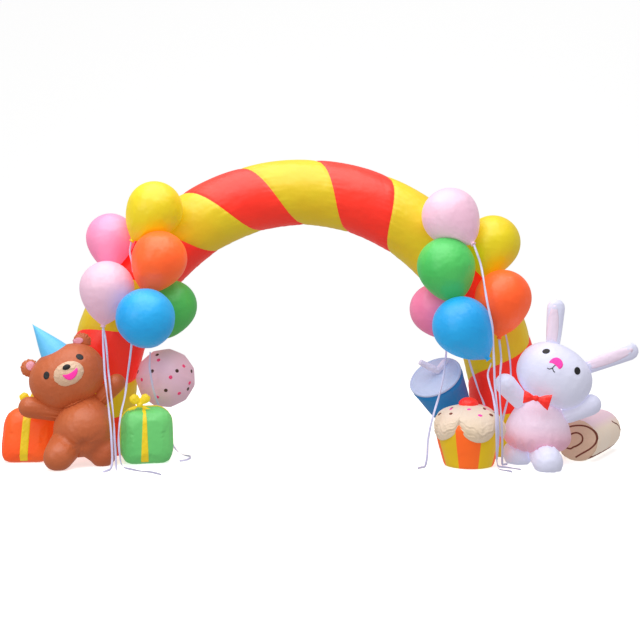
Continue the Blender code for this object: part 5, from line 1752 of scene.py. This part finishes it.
@dataclass
class Cupcake:
    """The cupcake: a case of orange and yellow panels, icing with hanging lobes and a cherry."""

    centre: Vec3 = (1.300, -0.640, 0.0)
    case_rows: tuple[tuple[float, float], ...] = (
        (0.0, 0.0), (0.090, 0.0), (0.168, 0.0), (0.186, 0.005), (0.196, 0.022), (0.207, 0.060), (0.220, 0.110),
        (0.235, 0.160), (0.247, 0.210), (0.258, 0.260), (0.264, 0.305), (0.258, 0.335), (0.230, 0.345),
        (0.120, 0.349), (0.0, 0.350),
    )
    panels: int = 8
    icing_radius: float = 0.276
    icing_top: float = 0.478
    lobes: int = 5
    icing_turn: float = -26.0
    lobe_bottom: float = 0.215
    lobe_cusp: float = 0.335
    cherry_centre: Vec3 = (1.296, -0.640, 0.478)
    cherry_radii: Vec3 = (0.076, 0.076, 0.052)
    sprinkles: tuple[Dot, ...] = (
        Dot(-0.136, -0.069, True), Dot(0.166, -0.072, True), Dot(0.117, -0.009, True), Dot(-0.224, -0.027, True),
        Dot(0.000, -0.036, False), Dot(0.083, -0.095, False), Dot(-0.137, -0.003, False),
    )

    def build(self) -> None:
        """Models and dresses the cupcake."""
        place = Matrix.Translation(Vector(self.centre) + SHIFT)
        case = self._case(place)
        icing = self._icing(place)
        Bench.dress(case, (CASE_ORANGE, CASE_YELLOW), ("cupcake_case",), fill=0.95)
        Bench.dress(icing, (ICING,), ("cupcake_icing",), fill=0.95)
        cherry_rows = [(math.sin(a), -math.cos(a) * (1 if a > 1.2 else 0.98)) for a in np.linspace(0, math.pi, 31)]
        cherry = Bench.spun("cupcake_cherry_skin", cherry_rows, 56, Matrix.Diagonal((*self.cherry_radii, 1)))
        points = Bench.points(cherry)
        around = np.arctan2(points[:, 1], points[:, 0])
        points[:, :2] *= (1 - 0.05 * ripple(around * 11 / math.tau, 0.3)
                          * np.exp(-np.abs(points[:, 2] + 0.02) / 0.02))[:, None]
        Bench.place_points(cherry, points)
        cherry.data.transform(Matrix.Translation(Vector(self.cherry_centre) + SHIFT))
        Bench.dress(cherry, (CHERRY_RED,), ("cupcake_cherry",), fill=0.9)
        for brown, cloth in ((True, CRUST_BROWN), (False, PRINT_PINK)):
            patches = []
            for turn in (-8.5, 111.5, 231.5):
                view = Drop(place @ Matrix.Translation((0, 0, 0.40)) @ Matrix.Rotation(math.radians(turn), 4, "Z")
                            @ Matrix.Rotation(math.radians(-35), 4, "X"), icing)
                patches += [view.spot("sprinkle", Oval(d.across, d.up, 0.017, 0.0115, 140 * k))
                            for k, d in enumerate(self.sprinkles)
                            if d.brown == brown and (turn < 0 or abs(d.across) < 0.15)]
            Bench.dress(joined(patches, f"icing_sprinkles_{'brown' if brown else 'pink'}"), (cloth,))

    def _case(self, place: Matrix) -> bpy.types.Object:
        """The case, with its seams drawn in and its panels in two cloths.

        Args:
            place: the cupcake's place.

        Returns:
            The mesh, with both materials set.
        """
        fine = []
        for (r0, z0), (r1, z1) in zip(self.case_rows, self.case_rows[1:]):
            fine += [(r0 + (r1 - r0) * t, z0 + (z1 - z0) * t) for t in (0, 0.25, 0.5, 0.75)]
        fine.append(self.case_rows[-1])
        case = Bench.spun("cupcake_case_skin", fine, 160, Matrix())
        turn = math.radians(-90 - 8.5 + 180 / self.panels)
        points = Bench.points(case)
        around = np.arctan2(points[:, 1], points[:, 0]) - turn
        wave = np.abs(np.cos(self.panels / 2 * around))
        side = np.clip(points[:, 2] / 0.03, 0, 1)
        gathers = ripple(around * 44 / math.tau, 1.5)
        foot = np.exp(-points[:, 2] / 0.05)
        share = 1 - side * (0.014 * wave**2 + 0.012 * wave**30 + 0.020 * gathers * foot)
        points[:, :2] *= share[:, None]
        Bench.place_points(case, points)
        for cloth in (CASE_ORANGE, CASE_YELLOW):
            case.data.materials.append(cloth.material())
        for face in case.data.polygons:
            angle = (math.atan2(face.center.y, face.center.x) - turn) % math.tau
            face.material_index = 0 if int(angle / (math.tau / self.panels)) % 2 else 1
        case.data.transform(place)
        return case

    def _icing(self, place: Matrix) -> bpy.types.Object:
        """The icing: a dome whose rim hangs in crumpled round lobes.

        Args:
            place: the cupcake's place.

        Returns:
            The mesh.
        """
        columns, rings = 216, 46
        around = math.tau * np.arange(columns) / columns
        lobe = np.abs(np.sin(self.lobes / 2 * around)) ** 0.6
        rim = self.lobe_cusp + (self.lobe_bottom - self.lobe_cusp) * lobe
        angle = around + math.radians(self.icing_turn) - math.pi / 2
        points = [(0.0, 0.0, self.icing_top)]
        full = math.radians(108)
        for share in np.linspace(0, 1, rings + 1)[1:]:
            radius = self.icing_radius * math.sin(share * full) * (0.955 + 0.045 * lobe)
            drop = (1 - math.cos(share * full)) / (1 - math.cos(full))
            height = self.icing_top + (rim - self.icing_top) * drop
            low = np.clip((share - 0.50) / 0.28, 0, 1) ** 1.5
            crumple = low * (1 - 0.7 * np.clip((share - 0.9) / 0.1, 0, 1)) * (
                0.015 * ripple(share * 14 + 1.1 * np.sin(around * 6) + 0.5 * np.sin(around * 17), 1.0)
                + 0.004 * ripple(around * 34 / math.tau + 2.5 * share, 1.9))
            puff = 0.016 * np.exp(-((share - 0.80) / 0.16) ** 2) * lobe
            valley = 0.018 * np.exp(-(lobe**2) / 0.10) * share**2
            radius = radius - crumple + puff - valley
            points += list(zip(radius * np.cos(angle), radius * np.sin(angle), height))
        last = points[-columns:]
        points += [(x * 0.80, y * 0.80, z + 0.012) for x, y, z in last]
        points.append((0.0, 0.0, self.lobe_cusp - 0.02))
        faces = [(0, 1 + k, 1 + (k + 1) % columns) for k in range(columns)]
        for ring in range(rings):
            low, high = 1 + ring * columns, 1 + (ring + 1) * columns
            faces += [(low + k, high + k, high + (k + 1) % columns, low + (k + 1) % columns) for k in range(columns)]
        low = 1 + rings * columns
        faces += [(low + (k + 1) % columns, low + k, len(points) - 1) for k in range(columns)]
        icing = Bench.mesh("cupcake_icing_skin", points, faces)
        Bench.edit(icing, lambda: bpy.ops.mesh.normals_make_consistent(inside=False))
        icing.data.transform(place)
        return icing


@dataclass
class Cup:
    """The tilted cup with its lid and the soft bent straw."""

    lid_centre: Vec3 = (1.073, -0.400, 0.652)
    axis: Vec3 = (-0.43, -0.50, 0.75)
    body_rows: tuple[tuple[float, float], ...] = (
        (0.0, -0.420), (0.060, -0.420), (0.125, -0.420), (0.142, -0.412), (0.150, -0.392), (0.163, -0.330),
        (0.178, -0.260), (0.192, -0.170), (0.206, -0.080), (0.216, -0.030), (0.210, -0.006), (0.190, 0.0),
        (0.10, 0.0), (0.0, 0.0),
    )
    lid_rows: tuple[tuple[float, float], ...] = (
        (0.0, 0.001), (0.190, 0.001), (0.208, 0.002), (0.218, 0.010), (0.219, 0.018), (0.214, 0.025),
        (0.206, 0.026), (0.200, 0.019), (0.190, 0.024), (0.165, 0.031), (0.120, 0.034), (0.060, 0.034),
        (0.0, 0.033),
    )

    def build(self) -> None:
        """Models and dresses the cup."""
        turn = Vector((0, 0, 1)).rotation_difference(Vector(self.axis))
        place = Matrix.Translation(Vector(self.lid_centre) + SHIFT) @ turn.to_matrix().to_4x4()
        for name, rows, cloth in (("body", self.body_rows, CUP_BLUE), ("lid", self.lid_rows, LID_WHITE)):
            fine = []
            for (r0, z0), (r1, z1) in zip(rows, rows[1:]):
                fine += [(r0 + (r1 - r0) * t, z0 + (z1 - z0) * t) for t in (0, 0.34, 0.67)]
            made = Bench.spun(f"cup_{name}_skin", [*fine, rows[-1]], 112, Matrix())
            points = Bench.points(made)
            around = np.arctan2(points[:, 1], points[:, 0])
            out = np.hypot(points[:, 0], points[:, 1])
            edge = np.exp(-np.abs(out - 0.205) / 0.02)
            foot = np.exp(-(points[:, 2] + 0.42) / 0.04) if name == "body" else 0.0
            seam = np.exp(-(np.abs(np.angle(np.exp(1j * (around + 0.5)))) / 0.03) ** 2)
            share = 1 - 0.012 * ripple(around * 40 / math.tau, 1.0) * edge - 0.04 * foot * ripple(
                around * 26 / math.tau, 0.2) - 0.010 * seam
            points[:, :2] *= share[:, None]
            if name == "lid":
                points[:, 2] -= 0.006 * ripple(around * 7 / math.tau, 0.9) * np.clip(1 - out / 0.2, 0, 1) * (
                    points[:, 2] > 0.01)
            Bench.place_points(made, points)
            made.data.transform(place)
            if name == "body":
                self._press(made)
            Bench.dress(made, (cloth,), (f"cup_{name}",), fill=0.95)
        straw = Bench.soft_copy("cup_straw_skin", "cup_straw", 0.0035, 8)
        middle = Vector((1.0825, -0.419, 0.718)) + SHIFT
        Bench.gather(straw, point_gathers(middle, Vector((0, -1, 0)), 9, 0.008, 0.10, 0.0, 0.6))
        Bench.dress(straw, (STRAW_WHITE,), ("cup_straw",), fill=0.7)

    @staticmethod
    def _press(made: bpy.types.Object) -> None:
        """Keeps the cup's foot off the leg behind it."""
        tree = Bench.tree(frame["nodes"]["arch_tube"])
        points = Bench.points(made)
        for i, point in enumerate(points):
            near, normal, _, apart = tree.find_nearest(Vector(point))
            inside = (Vector(point) - near).dot(normal)
            if inside < 0.004 and apart < 0.2:
                points[i] = np.array(near + normal * 0.004)
        Bench.place_points(made, points)


@dataclass
class CakeRoll:
    """The roll cake behind the rabbit."""

    front: Vec3 = (2.180, -0.470, 0.166)
    back: Vec3 = (2.560, 0.170, 0.166)
    radius: float = 0.172
    spiral: tuple[tuple[float, float], ...] = (
        (-0.006, -0.135), (0.032, -0.108), (0.071, -0.083), (0.113, -0.053), (0.146, -0.017), (0.158, 0.014),
        (0.157, 0.045), (0.142, 0.077), (0.113, 0.102), (0.077, 0.118), (0.030, 0.122), (-0.017, 0.116),
        (-0.056, 0.105), (-0.083, 0.088), (-0.118, 0.045), (-0.122, -0.010), (-0.095, -0.055), (-0.050, -0.070),
        (-0.023, -0.054), (0.008, -0.039), (0.045, -0.005), (0.045, 0.040), (0.005, 0.062), (-0.045, 0.045),
        (-0.055, 0.005),
    )
    mark: tuple[tuple[float, float], ...] = ((0.53, 0.100), (0.58, 0.080), (0.64, 0.060), (0.70, 0.010))

    def build(self) -> None:
        """Models and dresses the roll, its spiral and its crust line."""
        low, high = Vector(self.front) + SHIFT, Vector(self.back) + SHIFT
        length = (high - low).length
        edge = 0.030
        rows = [(self.radius * 0.83 * k / 8, -0.004 * math.cos(k / 8 * 1.5)) for k in range(9)]
        rows += [(self.radius - edge + edge * math.sin(a), edge - edge * math.cos(a))
                 for a in np.linspace(0.1, math.pi / 2, 8)]
        rows += [(self.radius + 0.003 * math.sin(math.pi * k / 40), edge + (length - 2 * edge) * k / 40)
                 for k in range(1, 40)]
        rows += [(self.radius - edge + edge * math.cos(a), length - edge + edge * math.sin(a))
                 for a in np.linspace(0, math.pi / 2 - 0.1, 8)]
        rows += [(self.radius * 0.83 * k / 8, length + 0.012 * math.cos(k / 8 * 1.5)) for k in range(8, -1, -1)]
        turn = Vector((0, 0, 1)).rotation_difference(high - low)
        roll = Bench.spun("cake_roll_skin", rows, 120, Matrix())
        points = Bench.points(roll)
        around = np.arctan2(points[:, 1], points[:, 0])
        ends = np.exp(-points[:, 2] / 0.05) + np.exp(-(length - points[:, 2]) / 0.05)
        share = 1 - 0.030 * np.minimum(1, ends) * ripple(around * 26 / math.tau, 0.4)
        points[:, :2] *= share[:, None]
        Bench.place_points(roll, points)
        roll.data.transform(Matrix.Translation(low) @ turn.to_matrix().to_4x4())
        points = Bench.points(roll)
        points[:, 2] = np.maximum(points[:, 2], 0.0)
        Bench.place_points(roll, points)
        for cloth in (ROLL_TAN, ROLL_END):
            roll.data.materials.append(cloth.material())
        axis = (high - low).normalized()
        for face in roll.data.polygons:
            face.material_index = int((face.center - low).dot(axis) < 0.012 or (face.center - high).dot(axis) > -0.012)
        Bench.dress(roll, (ROLL_TAN, ROLL_END), ("cake_roll",), fill=1.0)
        self._lines(roll, low, axis, length)

    def _lines(self, roll: bpy.types.Object, low: Vector, axis: Vector, length: float) -> None:
        """Lays the brown spiral on both ends and the crust line along the side.

        Args:
            roll: the roll's skin.
            low: the middle of the front end.
            axis: the roll's axis.
            length: its length.
        """
        turn = math.atan2(axis.y, axis.x) - math.pi / 2
        lines = []
        for end, back in ((low, 0.0), (low + axis * length, math.pi)):
            view = Drop(Matrix.Translation(end) @ Matrix.Rotation(turn + back, 4, "Z"), roll)
            lines.append(view.line("spiral", self.spiral, 0.0125))
        for way, offset in ((1, 0.0), (-1, length)):
            side = Drop(Matrix.Translation(low) @ Matrix.Rotation(turn + way * math.pi / 2, 4, "Z"), roll)
            crust = [(way * (0.012 + (length - 0.024) * k / 30), -0.128 + 0.003 * math.sin(k)) for k in range(31)]
            lines.append(side.line("crust", crust, 0.024))
            mark = [(way * y, z) for y, z in self.mark]
            lines.append(side.line("mark", mark, 0.011))
        Bench.dress(joined(lines, "cake_roll_lines"), (CRUST_BROWN,))


@dataclass
class Studio:
    """The floor, the light and the camera."""

    camera_place: Vec3 = (0.146, -8.2, 1.40)
    camera_pitch: float = 2.06
    focal_pixels: float = 979.7
    image_width: float = 640.0
    sensor: float = 36.0
    floor_size: float = 60.0

    def build(self) -> None:
        """Sets up the studio."""
        scene = bpy.context.scene
        scene.view_settings.view_transform = "Standard"
        self._backdrop()
        world = bpy.data.worlds.new("studio")
        world.use_nodes = True
        world.node_tree.nodes["Background"].inputs["Color"].default_value = (1.0, 1.0, 1.0, 1.0)
        world.node_tree.nodes["Background"].inputs["Strength"].default_value = 0.38
        scene.world = world
        self._lamp("softbox_top", (-0.8, -1.6, 6.6), (0.0, 0.2, 0.6), 8.0, 560.0)
        self._lamp("softbox_left", (-6.0, -7.0, 3.5), (0.0, 0.0, 1.0), 4.0, 150.0)
        lens = bpy.data.cameras.new("camera")
        lens.sensor_width = self.sensor
        lens.lens = self.focal_pixels / self.image_width * self.sensor
        camera = bpy.data.objects.new("camera", lens)
        camera.location = Vector(self.camera_place) + SHIFT
        camera.rotation_euler = (math.radians(90 - self.camera_pitch), 0, 0)
        scene.collection.objects.link(camera)
        scene.camera = camera

    def _backdrop(self) -> None:
        """Adds a white floor that curves up into a wall, and keeps its light off the arch."""
        half, bend, back = self.floor_size / 2, 6.0, 14.0
        line = [(-half, 0.0), (back, 0.0)]
        line += [(back + bend * math.sin(a), bend - bend * math.cos(a)) for a in np.linspace(0, math.pi / 2, 17)[1:]]
        line.append((back + bend, 40.0))
        points = [(x, y, z - 0.001) for y, z in line for x in (-half, half)]
        faces = [(2 * i, 2 * i + 1, 2 * i + 3, 2 * i + 2) for i in range(len(line) - 1)]
        floor = Bench.mesh("studio_floor", points, faces)
        Bench.pick(floor)
        bpy.ops.object.shade_smooth()
        paper = bpy.data.materials.new("studio_paper")
        paper.use_nodes = True
        shader = paper.node_tree.nodes["Principled BSDF"]
        shader.inputs["Base Color"].default_value = (0.9, 0.9, 0.9, 1.0)
        shader.inputs["Roughness"].default_value = 0.9
        shader.inputs["Emission Color"].default_value = (1.0, 1.0, 1.0, 1.0)
        shader.inputs["Emission Strength"].default_value = 0.62
        paper.cycles.emission_sampling = "NONE"
        floor.data.materials.append(paper)
        floor.visible_diffuse = False
        floor.visible_glossy = False

    @staticmethod
    def _lamp(name: str, place: Vec3, aim: Vec3, size: float, power: float) -> None:
        """Adds a square softbox.

        Args:
            name: its name.
            place: where it stands.
            aim: what it points at.
            size: its width.
            power: its power in watts.
        """
        light = bpy.data.lights.new(name, "AREA")
        light.size = size
        light.energy = power
        lamp = bpy.data.objects.new(name, light)
        lamp.location = place
        lamp.rotation_euler = (Vector(aim) - Vector(place)).to_track_quat("-Z", "Y").to_euler()
        bpy.context.scene.collection.objects.link(lamp)


def main() -> None:
    """Builds the arch, piece by piece."""
    logging.basicConfig(level=logging.INFO, format="%(message)s")
    Studio().build()
    tube = ArchTube()
    tube.build()
    for balloon in BALLOONS:
        balloon.build(BALLOONS, tube)
    Ribbons().build()
    Bear().build()
    Rabbit().build()
    for gift in GIFTS:
        gift.build()
    SpottedBall().build()
    Cupcake().build()
    Cup().build()
    CakeRoll().build()


if __name__ == "__main__":
    main()
